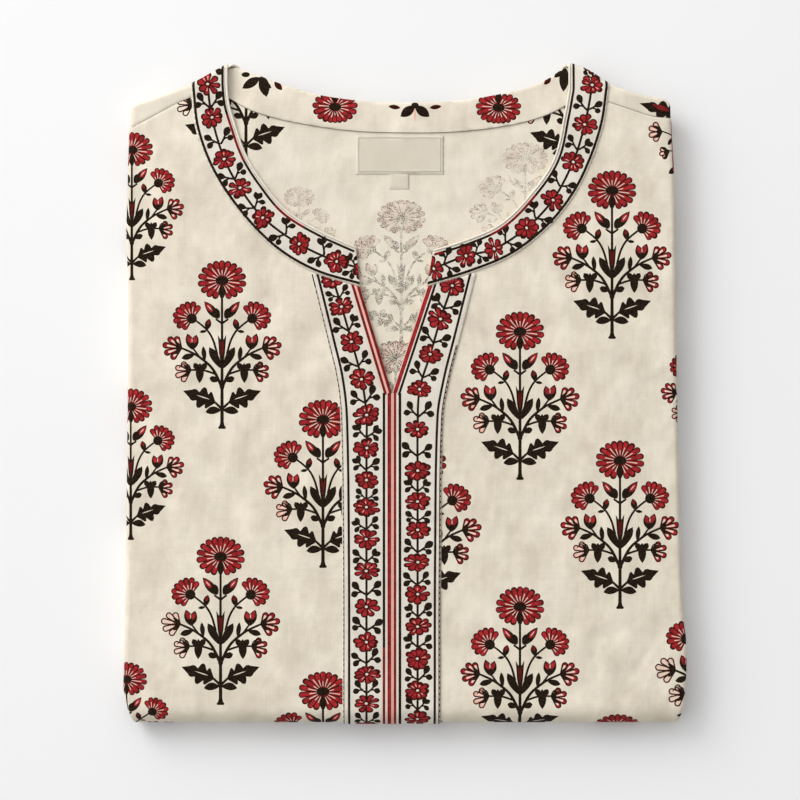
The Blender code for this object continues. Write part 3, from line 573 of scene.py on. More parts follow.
def butta(left=(RED, PEACH), right=(RED, RED)):
    """One flowering plant of the body print, placed by the centre of its top flower."""
    shapes = [
        stroke([(0.0, -9.0), (0.0, -44.0)], 1.2, 1.45, BLACK, 6.0),
        stroke([(0.0, -43.0), (0.0, -76.8)], 1.5, 1.9, BLACK, 6.0),
        Shape([(-0.8, -75.6), (0.8, -75.6), (1.3, -78.0), (2.2, -79.3), (1.6, -79.9), (-1.6, -79.9),
               (-2.2, -79.3), (-1.3, -78.0)], BLACK),
    ]
    shapes += placed(butta_half(*left), 0.0, 0.0, mirror=True)
    shapes += butta_half(*right)
    shapes += [
        Shape([(0.4, -46.4), (1.6, -39.0), (2.3, -28.8), (0.9, -31.6), (0.0, -30.2), (-0.9, -31.6),
               (-2.3, -29.0), (-1.6, -39.0), (-0.4, -46.4)], BLACK),
        Shape([(0.3, -40.5), (1.0, -35.0), (1.2, -31.6), (0.4, -33.2), (-0.4, -33.2), (-1.2, -31.6),
               (-1.0, -35.0), (-0.3, -40.5)], DIM_RED),
        oval(0.0, -56.6, 2.8, 4.6, BLACK),
        oval(0.0, -69.4, 2.6, 3.0, BLACK),
    ]
    shapes += carnation()
    return shapes


def worn_print(shapes, strength):
    """The same shapes as they show through on the wrong side of the cloth."""
    return [Shape(shape.points, Ink(red=shape.ink.red * strength * 0.75,
                                    black=(shape.ink.black + 0.10 * shape.ink.red) * strength,
                                    pale=1.0)) for shape in shapes]


def border_flower(across, up, rng):
    """A small border flower: uneven petals with dark tips round a ringed bare dot."""
    count = rng.choice((8, 9, 9, 10))
    start = rng.uniform(0, 40)
    shapes = []
    stretch = (across / 12.0, up / 12.0)
    for i in range(count):
        angle = start + 360 * i / count + rng.uniform(-7, 7)
        reach = 6.2 * rng.uniform(0.84, 1.06)
        width = 3.5 * rng.uniform(0.84, 1.12)
        tip = rng.choice((0.75, 0.85, 1.0, 1.6))
        shapes.append(petal(angle, 0.8, reach, 1.0, width, OUTLINE, stretch=stretch))
        shapes.append(petal(angle, 1.4, reach - tip, 0.5, width - 1.25, RED, stretch=stretch))
        if rng.random() < 0.3:
            shapes.append(petal(angle, 2.0, reach * 0.62, 0.2, 0.5, PEACH, stretch=stretch, rounds=3))
    shapes.append(oval(0.0, 0.0, 3.2, 2.8, OUTLINE, 10))
    shapes.append(oval(rng.uniform(-0.2, 0.2), 0.0, 1.7, 1.4, GLINT, 8))
    return shapes


LeafRow = namedtuple("LeafRow", "base tip width belly", defaults=(0.6,))
SPRIG_LEAVES = (
    named_rows(LeafRow, ((3.8, 1.8), (7.8, 5.4), 3.7), ((3.8, 1.0), (7.6, -2.0), 3.4)),
    named_rows(LeafRow, ((3.6, 1.6), (6.6, 6.4), 3.6, 0.62), ((4.0, 0.6), (8.2, -0.8), 3.4)),
    named_rows(LeafRow, ((3.6, 1.8), (5.6, 6.2), 3.0), ((4.0, 2.0), (8.4, 3.6), 3.1),
               ((3.8, 0.8), (7.0, -2.4), 2.9)),
    named_rows(LeafRow, ((3.4, 1.4), (7.8, 5.2), 3.9, 0.62)),
)
BERRY_SPRIG = 3
SPRIG_SHARE = 0.60
SPRIG_ROOM = 18.5


def border_sprig(kind):
    """Bold black leaves on a short stem, to the right of the border's main stem."""
    shapes = [stroke([(0.0, -1.4), (2.4, 0.4), (4.8, 2.8)], 1.2, 1.0, BLACK, 1.0),
              stroke([(2.4, 0.5), (4.6, 0.4)], 1.0, 0.9, BLACK, 1.0)]
    shapes += [leaf(row.base, row.tip, row.width, BLACK, row.belly) for row in SPRIG_LEAVES[kind]]
    if kind == BERRY_SPRIG:
        shapes.append(oval(6.0, -0.4, 3.5, 3.2, BLACK, 10))
    return shapes


def border_vine(flowers, size, seed, sprig_reach=1.0):
    """A stem through a row of flowers, with leaf sprigs either side between them."""
    rng = random.Random(seed)
    shapes = [stroke(flowers, 1.25, 1.25, BLACK, 2.4)]
    for before, after in zip(flowers, flowers[1:]):
        room = min(1.0, math.dist(before, after) / SPRIG_ROOM)
        x = before[0] + (after[0] - before[0]) * SPRIG_SHARE + rng.uniform(-0.3, 0.3)
        y = before[1] + (after[1] - before[1]) * SPRIG_SHARE + rng.uniform(-0.6, 0.6)
        turn = math.degrees(math.atan2(before[1] - after[1], before[0] - after[0])) - 90
        for mirror in (False, True):
            sprig = border_sprig(rng.randrange(len(SPRIG_LEAVES)))
            shapes += placed(sprig, x, y, turn + rng.uniform(-9, 9),
                             sprig_reach * room * rng.uniform(0.96, 1.08), mirror)
    for i, (x, y) in enumerate(flowers):
        after = flowers[min(i + 1, len(flowers) - 1)]
        before = flowers[max(i - 1, 0)]
        turn = math.degrees(math.atan2(before[1] - after[1], before[0] - after[0])) - 90
        across = size[0] * rng.uniform(0.95, 1.05)
        up = size[1] * rng.uniform(0.86, 1.10)
        shapes += placed(border_flower(across, up, rng), x, y, turn)
    return shapes


# ---------------------------------------------------------------- where the body print falls
PrintRow = namedtuple("PrintRow", "u v size left right", defaults=(1.0, (RED, PEACH), (RED, RED)))
BODY_PRINT = named_rows(
    PrintRow, (-147.6, 132.3, 0.88), (-148.2, -6.4, 0.90), (-150.6, -153.8, 0.86),
    (-97.8, 205.3, 1.0, (RED, BARE)), (-98.8, 61.6), (-99.6, -87.5, 1.0, (BLUSH, BLUSH)), (-44.3, -13.5),
    (-44.3, -160.4), (9.2, -36.7), (62.1, 34.0), (62.1, -114.5), (111.8, 110.2), (116.1, -35.6),
    (115.0, -183.6), (165.8, 32.2, 0.86), (169.2, -110.3, 1.06, (BLUSH, BLUSH)))
HIDDEN_PRINT_PITCH = 148.0
COLUMN_PITCH = 50.0
HIDDEN_PRINT_ROWS = 3
BACK_PRINT = named_rows(PrintRow, (-85.9, 204.1), (88.6, 201.2))
GhostRow = namedtuple("GhostRow", "u v size strength")
GHOST_PRINT = named_rows(
    GhostRow, (-2.0, 95.9, 1.0, 0.53), (-5.0, 19.8, 1.0, 1.15), (-57.2, 106.8, 0.62, 0.30),
    (65.0, 127.6, 0.94, 0.28))
GHOST_SHRINK = 0.86
NECK_FLOWERS_LEFT = ((-106.6, 186.0), (-106.4, 167.9), (-104.2, 149.8), (-97.5, 127.4), (-89.1, 111.8),
                     (-76.7, 95.8), (-57.2, 81.5), (-36.9, 72.1), (-22.0, 68.0))
NECK_FLOWERS_RIGHT = ((101.6, 179.0), (101.0, 167.4), (97.0, 146.0), (90.7, 125.8), (79.8, 105.3),
                      (65.6, 90.2), (48.1, 78.8), (32.9, 75.1), (15.5, 68.3))
PLACKET_FLOWERS_LEFT = ((-38.9, 62.4), (-34.2, 47.7), (-28.8, 28.8), (-23.4, 8.5), (-20.8, -10.8),
                        (-20.8, -28.6), (-20.8, -45.9), (-20.8, -60.5), (-20.8, -77.8), (-20.8, -95.0),
                        (-20.8, -114.3), (-20.8, -133.4), (-20.8, -150.7), (-20.8, -166.5),
                        (-20.8, -182.5))
PLACKET_FLOWERS_RIGHT = ((25.4, 59.1), (19.2, 41.0), (13.7, 22.0), (7.9, 3.1), (6.8, -18.5),
                         (6.8, -40.8), (6.8, -57.5), (6.8, -72.8), (6.8, -90.2), (6.8, -107.5),
                         (6.8, -125.0), (6.8, -142.3), (6.8, -159.5), (6.8, -175.0))


def body_print():
    """The block print of the front, with its rows carried on round the bottom fold."""
    shapes = []
    lowest = {}
    for row in BODY_PRINT:
        shapes += placed(butta(row.left, row.right), row.u, row.v, size=row.size)
        lowest[round(row.u / COLUMN_PITCH)] = row
    for row in lowest.values():
        for i in range(1, HIDDEN_PRINT_ROWS + 1):
            shapes += placed(butta(), row.u, row.v - HIDDEN_PRINT_PITCH * i, size=row.size)
    return shapes + corner_print()


def corner_print():
    """The hanging sprig that wraps round the top right corner, below the shoulder seam."""
    shapes = [stroke([(150.5, 134.0), (146.0, 139.5), (139.0, 142.5)], 0.9, 0.7, BLACK, 1.2),
              stroke([(151.0, 126.0), (146.0, 131.5), (142.5, 132.0)], 0.9, 0.7, BLACK, 1.2),
              leaf((144.8, 139.0), (142.0, 135.0), 2.2, BLACK),
              leaf((149.0, 124.0), (142.4, 119.6), 3.4, BLACK, belly=0.6),
              stroke([(145.4, 148.5), (146.0, 136.0), (146.6, 121.0)], 2.6, 3.4, RED)]
    upper = open_bud(((52, 6.6), (18, 7.4), (-18, 7.4), (-50, 6.6)), 3.4, PEACH)
    lower = open_bud(((40, 5.0), (4, 5.4), (-32, 5.0)), 2.9, PEACH)
    return shapes + placed(upper, 138.6, 142.2, 180.0) + placed(lower, 142.4, 131.6, 195.0)


def corner_leaf():
    """The broad leaf of that sprig, above the shoulder seam."""
    return [toothed_leaf((148.0, 151.2), (126.6, 157.6), 10.6, 3, BLACK),
            leaf((143.4, 153.4), (133.6, 157.0), 2.6, DARK_RED, belly=0.5),
            stroke([(148.0, 151.2), (152.0, 140.0), (153.0, 120.0)], 1.0, 1.3, BLACK, 1.6)]


def on_inside(shapes):
    """Shapes drawn as they are seen on the inside layer, carried to its flat places."""
    turned = []
    for shape in shapes:
        xs = np.array([p[0] for p in shape.points])
        ys = np.array([p[1] for p in shape.points])
        turned.append(Shape(list(zip(xs.tolist(), inside_v(xs, ys).tolist())), shape.ink))
    return turned


# ---------------------------------------------------------------- cutting and folding the cloth
Face = namedtuple("Face", "depth shapes fill")
Cut = namedtuple("Cut", "places triangles inks")
LAYOUT_ROOM = 0.97
LAYOUT_EDGE = 0.01
CLOTH_SHARP = math.radians(50)
CORD_SHARP = math.radians(60)


def counterclockwise(ring):
    """A closed ring of flat points, turned to run with its inside on the left."""
    area = sum(x1 * y2 - x2 * y1 for (x1, y1), (x2, y2) in zip(ring, ring[1:] + ring[:1]))
    return list(ring) if area > 0 else list(ring)[::-1]


def top_shape(triangle, sources, corners, reaches):
    """The last printed shape over a triangle, of those that reach it."""
    x = sum(corners[i].x for i in triangle) / 3
    y = sum(corners[i].y for i in triangle) / 3
    for n in sorted(sources, reverse=True):
        low, high = reaches[n]
        if low[0] <= x <= high[0] and low[1] <= y <= high[1]:
            return n
    return 0


def cut_face(outline, face):
    """One face of a piece of cloth: its outline, printed shapes and inner points, as triangles."""
    points = counterclockwise(outline)
    loops = [list(range(len(points)))]
    inks = [BARE]
    low = np.min(np.array(outline), axis=0)
    high = np.max(np.array(outline), axis=0)
    reaches = [(low, high)]
    for shape in face.shapes:
        corners = np.array(shape.points)
        reach = (corners.min(axis=0), corners.max(axis=0))
        if (reach[1] < low).any() or (reach[0] > high).any():
            continue
        ring = counterclockwise(shape.points)
        loops.append(list(range(len(points), len(points) + len(ring))))
        points += ring
        inks.append(shape.ink)
        reaches.append(reach)
    taken = {(round(x / POINT_CLEARANCE), round(y / POINT_CLEARANCE)) for x, y in points}
    points += [p for p in face.fill
               if (round(p[0] / POINT_CLEARANCE), round(p[1] / POINT_CLEARANCE)) not in taken]
    corners, _, triangles, _, _, sources = delaunay_2d_cdt(
        [Vector(p) for p in points], [], loops, 1, CUT_MERGE, True)
    kept = [(t, inks[top_shape(t, s, corners, reaches)]) for t, s in zip(triangles, sources) if 0 in s]
    used = sorted({i for t, _ in kept for i in t})
    place_of = {i: n for n, i in enumerate(used)}
    return Cut([(corners[i].x, corners[i].y) for i in used],
               [tuple(place_of[i] for i in t) for t, _ in kept], [ink for _, ink in kept])


def rim_of(cut):
    """The closed loop of points round a cut face, with its cloth on the left."""
    edges = {edge: None for a, b, c in cut.triangles for edge in ((a, b), (b, c), (c, a))}
    step = {start: end for start, end in edges if (end, start) not in edges}
    first = min(step)
    loop = [first]
    while step[loop[-1]] != first:
        loop.append(step[loop[-1]])
    return loop


def matched_faces(outline, upper, lower):
    """Both faces of a piece, cut until their rims have the same points, each with its rim in step."""
    top = cut_face(outline, upper)
    rim = rim_of(top)
    for _ in range(RIM_TRIES):
        low = cut_face([top.places[i] for i in rim], lower)
        low_rim = rim_of(low)
        if len(low_rim) == len(rim):
            break
        top = cut_face([low.places[i] for i in low_rim], upper)
        rim = rim_of(top)
        if len(low_rim) == len(rim):
            break
    start = min(range(len(low_rim)), key=lambda i: math.dist(low.places[low_rim[i]], top.places[rim[0]]))
    return top, rim, low, low_rim[start:] + low_rim[:start]


def face_points(flat, depth):
    """A face's points in space, at a depth that is a number or a function of the flat places."""
    us = flat[:, 0]
    vs = flat[:, 1]
    return place(us, vs, depth(us, vs) if callable(depth) else depth)


def print_faces(mesh, faces, inks):
    """Gives every face of a mesh its ink."""
    tones = [tone for ink, face in zip(inks, faces) for tone in (*ink, 1.0) * len(face)]
    mesh.color_attributes.new("ink", "FLOAT_COLOR", "CORNER").data.foreach_set("color", tones)


def on_one_square(first, second, share):
    """A shown face and a hidden one laid out on one square, the hidden one small beside or above."""
    wide, tall = np.ptp(first, axis=0)
    small_wide, small_tall = np.ptp(second, axis=0) * share
    across = LAYOUT_ROOM / max(wide + small_wide, tall)
    upwards = LAYOUT_ROOM / max(wide, tall + small_tall)
    scale = max(across, upwards)
    corner = (LAYOUT_EDGE, LAYOUT_EDGE * 2 + tall * scale)
    if across >= upwards:
        corner = (LAYOUT_EDGE * 2 + wide * scale, LAYOUT_EDGE)
    return ((first - first.min(axis=0)) * scale + LAYOUT_EDGE,
            (second - second.min(axis=0)) * scale * share + corner)


def cloth_piece(name, outline, upper, lower, material, nodes, shown="upper", hidden_share=0.14):
    """A thin closed piece of cloth: two printed faces, cut to one outline and joined at its rim."""
    top, rim, low, low_rim = matched_faces(outline, upper, lower)
    shift = len(top.places)
    faces = list(top.triangles)
    faces += [(c + shift, b + shift, a + shift) for a, b, c in low.triangles]
    rim_start = 3 * len(faces)
    after = rim[1:] + rim[:1]
    low_after = low_rim[1:] + low_rim[:1]
    faces += [(b, a, c + shift, d + shift) for a, b, c, d in zip(rim, after, low_rim, low_after)]

    top_flat = np.array(top.places)
    low_flat = np.array(low.places)
    spots = np.concatenate([face_points(top_flat, upper.depth), face_points(low_flat, lower.depth)])
    mesh = bpy.data.meshes.new(name)
    mesh.from_pydata(spots.tolist(), [], faces)
    print_faces(mesh, faces, top.inks + low.inks + [BARE] * len(rim))

    corners = np.array([i for face in faces for i in face])
    flat = np.concatenate([top_flat, low_flat])
    mesh.uv_layers.new(name="cloth").data.foreach_set("uv", (flat[corners] * MM * 10).ravel())
    if shown == "upper":
        laid = on_one_square(top_flat, low_flat, hidden_share)
        edge = laid[0][rim]
    else:
        laid = on_one_square(low_flat, top_flat, hidden_share)[::-1]
        edge = laid[1][low_rim]
    layout = np.concatenate(laid)[corners]
    ahead = np.roll(edge, -1, axis=0)
    layout[rim_start:] = np.stack([ahead, edge, edge, ahead], axis=1).reshape(-1, 2)
    mesh.uv_layers.new(name="OFBake").data.foreach_set("uv", layout.ravel())
    return finish_mesh(name, mesh, material, nodes, CLOTH_SHARP)


def add_object(name, data):
    """Puts an object in the scene."""
    thing = bpy.data.objects.new(name, data)
    bpy.context.scene.collection.objects.link(thing)
    return thing


def finish_mesh(name, mesh, material, nodes, sharp):
    """Shades a finished mesh and puts it in the scene, riding on the garment."""
    mesh.materials.append(material)
    mesh.shade_smooth()
    mesh.set_sharp_from_angle(angle=sharp)
    mesh.validate()
    piece = add_object(name, mesh)
    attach(piece, "root")
    if nodes:
        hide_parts(*nodes)
    return piece


def finish_bmesh(name, bm, material, nodes=()):
    """Turns solid work into a piece, with all its faces pointing out."""
    bmesh.ops.recalc_face_normals(bm, faces=bm.faces)
    mesh = bpy.data.meshes.new(name)
    bm.to_mesh(mesh)
    bm.free()
    return finish_mesh(name, mesh, material, nodes, CORD_SHARP)


def skin_rings(bm, rings):
    """Faces that join rings of points one after another, with both ends closed."""
    for before, after in zip(rings, rings[1:]):
        for i, corner in enumerate(before):
            j = (i + 1) % len(before)
            bm.faces.new((corner, before[j], after[j], after[i]))
    bm.faces.new(rings[0][::-1])
    bm.faces.new(rings[-1])


def cord_ring(bm, centre, across, up, radius, sides):
    """One ring of points round a cord or a thread."""
    turns = [2 * math.pi * k / sides for k in range(sides)]
    return [bm.verts.new((centre + (across * math.cos(a) + up * math.sin(a)) * radius) * MM)
            for a in turns]


def turn_lines(start, radius, turn, segments):
    """Flat places that divide a turn of the cloth evenly."""
    return [start + radius * turn * i / segments for i in range(segments + 1)]


def woven_rows(rows, left, right, step):
    """Inner points in rows, every other row shifted by half a step."""
    fill = []
    for i, v in enumerate(rows):
        low = left(v) if callable(left) else left
        high = right(v) if callable(right) else right
        shift = step / 2 if i % 2 else 0.0
        fill += [(u, v) for u in np.arange(low + shift, high, step)]
    return fill


def denser(outline, step):
    """An outline with its long edges divided."""
    points = []
    for start, end in zip(outline, outline[1:] + outline[:1]):
        count = max(1, math.ceil(math.dist(start, end) / step))
        points += [tuple(a + (b - a) * i / count for a, b in zip(start, end)) for i in range(count)]
    return points


# ---------------------------------------------------------------- front and underside
SIDE_TURNS = [math.pi * i / 11 for i in range(12)]
LEFT_CLEARANCE = 1.2
RIGHT_CLEARANCE = 1.0
TUCK_DROP = 1.0
COLUMN_DROP = 8.0
UNDER_GRID = COARSE_GRID * 0.7
UNDER_SEGMENTS = 16
LIP_STEPS = (0.5, 1.5, 3.0)


def front_fill(rows, step):
    """Inner points of the front: closer together round the side rolls."""
    fill = []
    for i, v in enumerate(rows):
        for side in (-1, 1):
            fill += [(roll_reach(side, v, turn), v) for turn in SIDE_TURNS]
            fill.append((roll_reach(side, v, math.pi, SIDE_TUCK / 2), v))
        shift = step / 2 if i % 2 else 0.0
        left = roll_reach(-1, v, 0.0) + LEFT_CLEARANCE
        right = roll_reach(1, v, 0.0) - RIGHT_CLEARANCE
        fill += [(u, v) for u in np.arange(left + shift, right, step)]
    return fill


def front_outline():
    """The neck, slit, shoulder seams and rolled sides of the front, down to the underside join."""
    left_seam = SHOULDER_SEAM_LEFT[0].y
    right_seam = SHOULDER_SEAM_RIGHT[0].y
    outline = [(roll_reach(-1, left_seam, math.pi, SIDE_TUCK), left_seam - TUCK_DROP)]
    outline += [(roll_reach(-1, left_seam, turn), left_seam) for turn in SIDE_TURNS[:0:-1]]
    outline += [(x, y - SEAM_GAP) for x, y in smooth_path(SHOULDER_SEAM_LEFT, GRID)]
    outline += smooth_path(NECK_EDGE_LEFT, GRID)[1:]
    outline += [tuple(BAND_OUTER_LEFT[-1]), (CENTRE_LINE - JOIN_GAP, SLIT_TIP_Y)]
    outline += [(CENTRE_LINE + JOIN_GAP, SLIT_TIP_Y), tuple(BAND_OUTER_RIGHT[-1])]
    outline += smooth_path(NECK_EDGE_RIGHT, GRID)[:0:-1]
    outline += [(x, y - SEAM_GAP) for x, y in smooth_path(SHOULDER_SEAM_RIGHT, GRID)][::-1]
    outline += [(roll_reach(1, right_seam, turn), right_seam) for turn in SIDE_TURNS[1:]]
    outline += [(roll_reach(1, right_seam, math.pi, SIDE_TUCK), right_seam - TUCK_DROP)]
    return outline


def side_column(side, rows, tuck_turn=math.pi, tuck=SIDE_TUCK):
    """The cloth's outline down one side, past its roll."""
    return [(roll_reach(side, v, tuck_turn, tuck), v) for v in rows]


def thread_groove(paths, depth=0.16, width=0.5):
    """How far stitching pulls the cloth down along its lines."""
    def dip(u, v):
        sunk = np.zeros(len(u))
        for path in paths:
            sunk = sunk - depth * np.exp(-(path_distance(u, v, path) / width) ** 2)
        return sunk
    return dip


SEAM_SINK = 0.36
SEAM_WIDTH = 0.6
SEAM_NEAR = (0.5, 1.0, 1.7)
SEAM_PATHS = [smooth_path(seam, GRID * 0.8) for seam in (SHOULDER_SEAM_LEFT, SHOULDER_SEAM_RIGHT)]


def seam_valley(u, v):
    """How far the shoulder seams pull the cloth down along their lines."""
    return -thread_groove(SEAM_PATHS, SEAM_SINK, SEAM_WIDTH)(u, v)


def seam_fill(side):
    """Inner points close along one side of the shoulder seams, so their valley is smooth."""
    return [p for seam, way in zip(SEAM_PATHS, (side, -side)) for near in SEAM_NEAR
            for p in offset_path(seam, near * way)]


def make_front(material):
    """The front panel, from its shoulder seams down the top and round the bottom fold."""
    seam_end = SHOULDER_SEAM_LEFT[0].y - COLUMN_DROP
    rows = spread(SHOULDER_SEAM_LEFT[-1].y, UNDER_JOIN, GRID)
    down = spread(seam_end, UNDER_JOIN + JOIN_GAP, GRID)
    outline = front_outline() + side_column(1, down) + side_column(-1, down)[::-1]
    upper = Face(seam_valley, body_print(), front_fill(rows, GRID) + seam_fill(-1))
    lower = Face(CLOTH, (), front_fill(spread(rows[0], UNDER_JOIN, COARSE_GRID), COARSE_GRID))
    return cloth_piece("front_cloth", outline, upper, lower, material, ["front"])


def under_side(side, rows, lip):
    """One side of the underside's outline: tucked in, then cut back where it enters the stack."""
    first, second, third = LIP_STEPS
    down = [v for v in rows if v > lip]
    low = [v for v in rows if v < lip - third]
    edge = side_column(side, [UNDER_JOIN - JOIN_GAP] + down[1:] + [lip])
    edge.append((roll_reach(side, lip, math.pi), lip - first))
    edge.append((roll_reach(side, lip, STACK_CORNER_TURN), lip - second))
    return edge + side_column(side, low, STACK_CORNER_TURN, 0.0)


def make_underside(material):
    """The lower front, lying face down underneath and turned up into the folded stack."""
    rows = spread(UNDER_JOIN, STACK_START, UNDER_GRID)
    rows += turn_lines(STACK_START, -STACK_RADIUS, STACK_TURN, UNDER_SEGMENTS)[1:]
    right, left = [under_side(side, rows, STACK_START + LIP_CLEARANCE) for side in (1, -1)]
    outline = denser(right + left[::-1], COARSE_GRID)
    upper = Face(0.0, body_print(), front_fill(rows, UNDER_GRID))
    lower = Face(CLOTH, (), front_fill(rows[::2], COARSE_GRID))
    return cloth_piece("under_cloth", outline, upper, lower, material, ["front"])


# ---------------------------------------------------------------- back, facing and labels
CORNER_HEIGHT = 150.0
CORNER_HEM = 3.0
CORNER_INSET = 5.0
CORNER_RISE = 12.0
FOLD_ROWS = (16.0, 10.0, 1.4)
FOLD_COLUMNS = ((-147.0, -86.0), (84.0, 143.0))
FOLD_GRID = 1.6
FOLD_SEGMENTS = 10
BACK_ROWS = (188.0, 372.0)
INSIDE_COLUMNS = (-118.0, 114.0)
OUTSIDE_COLUMNS = (-128.0, 126.0)


def shoulder_rows(above, deep, step):
    """Offsets along the flat from the start of the shoulder roll, over it and on inside."""
    rows = [-start for start in spread(0.0, above, step)[:0:-1]]
    rows += turn_lines(0.0, SHOULDER_RADIUS, math.pi, FOLD_SEGMENTS)
    rows += [math.pi * SHOULDER_RADIUS + run for run in spread(0.0, deep, step)[1:]]
    return rows


def back_half(side, seam, neck):
    """Half of the back's outline: its low inner corner, side, shoulder seam and turn to the neck."""
    strip = [(x, y + SEAM_GAP) for x, y in smooth_path(seam, GRID)]
    edge_u = roll_reach(side, CORNER_HEIGHT, CORNER_TURN)
    start = float(shoulder_start(edge_u))
    rows = [start + row for row in shoulder_rows(0.0, CORNER_HEM, GRID) if row >= 0.0]
    hem = [(edge_u, v) for v in [strip[0][1]] + rows]
    top_u = strip[-1][0]
    over = turn_lines(float(shoulder_start(top_u)), SHOULDER_RADIUS, math.pi, FOLD_SEGMENTS)
    slant = [(top_u + (neck.x - top_u) * i / len(over), v) for i, v in enumerate(over)]
    low_u = side * (abs(edge_u) - SIDE_TUCK - CORNER_INSET)
    low = [(low_u, float(inside_v(low_u, y))) for y in (BACK_LOW_END, start - CORNER_RISE)]
    return low + hem[::-1] + strip + slant


def back_outline():
    """The back's shoulder strips, rolled over the fold, and its inside round the neck opening."""
    left = back_half(-1, SHOULDER_SEAM_LEFT, BACK_NECK_EDGE[0])
    right = back_half(1, SHOULDER_SEAM_RIGHT, BACK_NECK_EDGE[-1])
    neck_edge = [(x, float(inside_v(x, y))) for x, y in smooth_path(BACK_NECK_EDGE, GRID)]
    low_edge = [(u, float(inside_v(u, BACK_LOW_END)))
                for u in spread(right[0][0], left[0][0], COARSE_GRID)[1:-1]]
    return denser(left + neck_edge + right[::-1] + low_edge, COARSE_GRID)


def printed_at(rows):
    """Whole plants of the print at each row's place."""
    return [shape for row in rows for shape in placed(butta(), row.u, row.v, size=row.size)]


def make_back(material):
    """The back: right side out over the shoulders, wrong side up where the neck opens."""
    columns = [u for ends in FOLD_COLUMNS for u in spread(*ends, FOLD_GRID)]
    fold_fill = [(u, float(shoulder_start(u)) + row)
                 for row in shoulder_rows(*FOLD_ROWS) for u in columns]
    inside_fill = woven_rows(spread(*BACK_ROWS, GRID), *INSIDE_COLUMNS, GRID)
    outside_fill = woven_rows(spread(*BACK_ROWS, COARSE_GRID), *OUTSIDE_COLUMNS, COARSE_GRID)
    short = [Shape([(x, y * GHOST_SHRINK) for x, y in shape.points], shape.ink) for shape in butta()]
    ghosts = [shape for row in GHOST_PRINT
              for shape in worn_print(placed(short, row.u, row.v, size=row.size), row.strength)]
    wrong_side = on_inside(ghosts + printed_at(BACK_PRINT))
    upper = Face(seam_valley, corner_leaf(), fold_fill + outside_fill + seam_fill(1))
    lower = Face(BACK_CLOTH, wrong_side, fold_fill + inside_fill)
    return cloth_piece("back_cloth", back_outline(), upper, lower, material, ["back"],
                       shown="lower", hidden_share=0.3)


PATCH_EDGE = 0.12
# Width of the brown line printed along the facing's lower edge: a painted shadow of its folded edge.
FACING_SHADOW_LINE_WIDTH = 0.32
LABEL_FRAME = (1.4, 0.34)


def inside_piece(name, outline, shapes, base, height, soft_edge, step, material, node):
    """A piece sewn on the inside of the back, its edges pressed down: drawn as it lies, in x and y."""
    us = np.array([p[0] for p in outline])
    ys = np.array([p[1] for p in outline])
    flat = list(zip(us.tolist(), inside_v(us, ys).tolist()))
    rows = spread(ys.min(), ys.max(), step)
    fill = []
    for i, y in enumerate(rows):
        across = np.arange(us.min() + (step / 2 if i % 2 else 0.0), us.max(), step)
        fill += list(zip(across.tolist(), inside_v(across, np.full(len(across), y)).tolist()))
    rim = flat + flat[:1]

    def height_at(u, v):
        share = np.clip(path_distance(u, v, rim) / soft_edge, 0.0, 1.0)
        edge = base + PATCH_EDGE
        return edge + (height - edge) * np.sqrt(1 - (1 - share) ** 2)

    under = Face(base, (), ())
    over = Face(height_at, on_inside(shapes), fill)
    return cloth_piece(name, flat, under, over, material, [node], shown="lower")


def make_facing(material):
    """Back neck facing, cut from the printed cotton with its motifs turned over, and a painted shadow
    line along its lower edge.
    """
    bloom = carnation(gap=60.0, low_trim=0.44, high_trim=0.28)
    shapes = placed(bloom, -37.8, 155.8, 180.0, 0.93)
    shapes += placed(bloom, 50.5, 155.4, 180.0, 0.93)
    twig = [leaf((0.0, 1.5), (-7.0, -3.6), 4.6, BLACK), leaf((0.0, 1.5), (7.0, -3.6), 4.6, BLACK),
            leaf((0.0, 1.0), (0.0, -6.4), 0.9, PEACH), oval(0.0, 1.8, 3.6, 3.0, BLACK),
            leaf((-7.0, 0.6), (-12.8, 1.4), 2.2, OUTLINE), leaf((7.0, 0.6), (12.8, 1.4), 2.2, OUTLINE)]
    shapes += placed(twig, 5.4, 154.4, 0.0, 1.12)
    shapes += [leaf((-78.3, 171.8), (-88.1, 165.9), 5.0, BLACK),
               leaf((-77.6, 173.4), (-74.8, 161.0), 5.8, BLACK),
               leaf((-77.6, 169.6), (-72.2, 165.8), 3.0, BLACK), oval(-86.2, 173.4, 4.6, 2.8, BLACK),
               leaf((-70.6, 169.4), (-66.4, 164.8), 3.2, OUTLINE)]
    frond = [leaf((0.0, 7.5), (-1.0, -6.5), 5.4, BLACK), leaf((-1.0, 5.0), (-6.0, 1.4), 2.8, BLACK),
             leaf((-7.6, 1.2), (-11.4, -2.6), 2.8, OUTLINE)]
    shapes += placed(frond, 86.6, 170.4)
    lower = smooth_path(FACING_LOWER_EDGE, GRID)
    # Painted shadow: a thin brown line along the lower edge, where the folded edge would cast its shade.
    shapes.append(band_between(lower, 0.0, FACING_SHADOW_LINE_WIDTH, FRAME_AND_SHADOW_BROWN))
    upper = smooth_path(FACING_END_LEFT + BACK_NECK_EDGE + FACING_END_RIGHT, GRID)
    outline = upper + lower[::-1]
    return inside_piece("facing_cloth", outline, shapes, FACING_BASE, FACING_HEIGHT, 0.5, GRID * 0.6,
                        material, "back_neck_facing")


def frame_lines(patch, inset, width, ink):
    """A thin woven line set in from the edges of a label."""
    left = patch.left + inset
    right = patch.right - inset
    low = patch.bottom + inset
    high = patch.top - inset
    return [Shape([(left, low), (right, low), (right, low + width), (left, low + width)], ink),
            Shape([(left, high - width), (right, high - width), (right, high), (left, high)], ink),
            Shape([(left, low), (left + width, low), (left + width, high), (left, high)], ink),
            Shape([(right - width, low), (right, low), (right, high), (right - width, high)], ink)]


def make_patch(name, patch, height, lines, material):
    """A bare woven label, or the little tab below it."""
    corners = [(patch.left, patch.bottom), (patch.right, patch.bottom),
               (patch.right, patch.top), (patch.left, patch.top)]
    return inside_piece(name + "_cloth", denser(corners, 1.5), lines, FACING_BASE, height, 0.25, 1.1,
                        material, name)


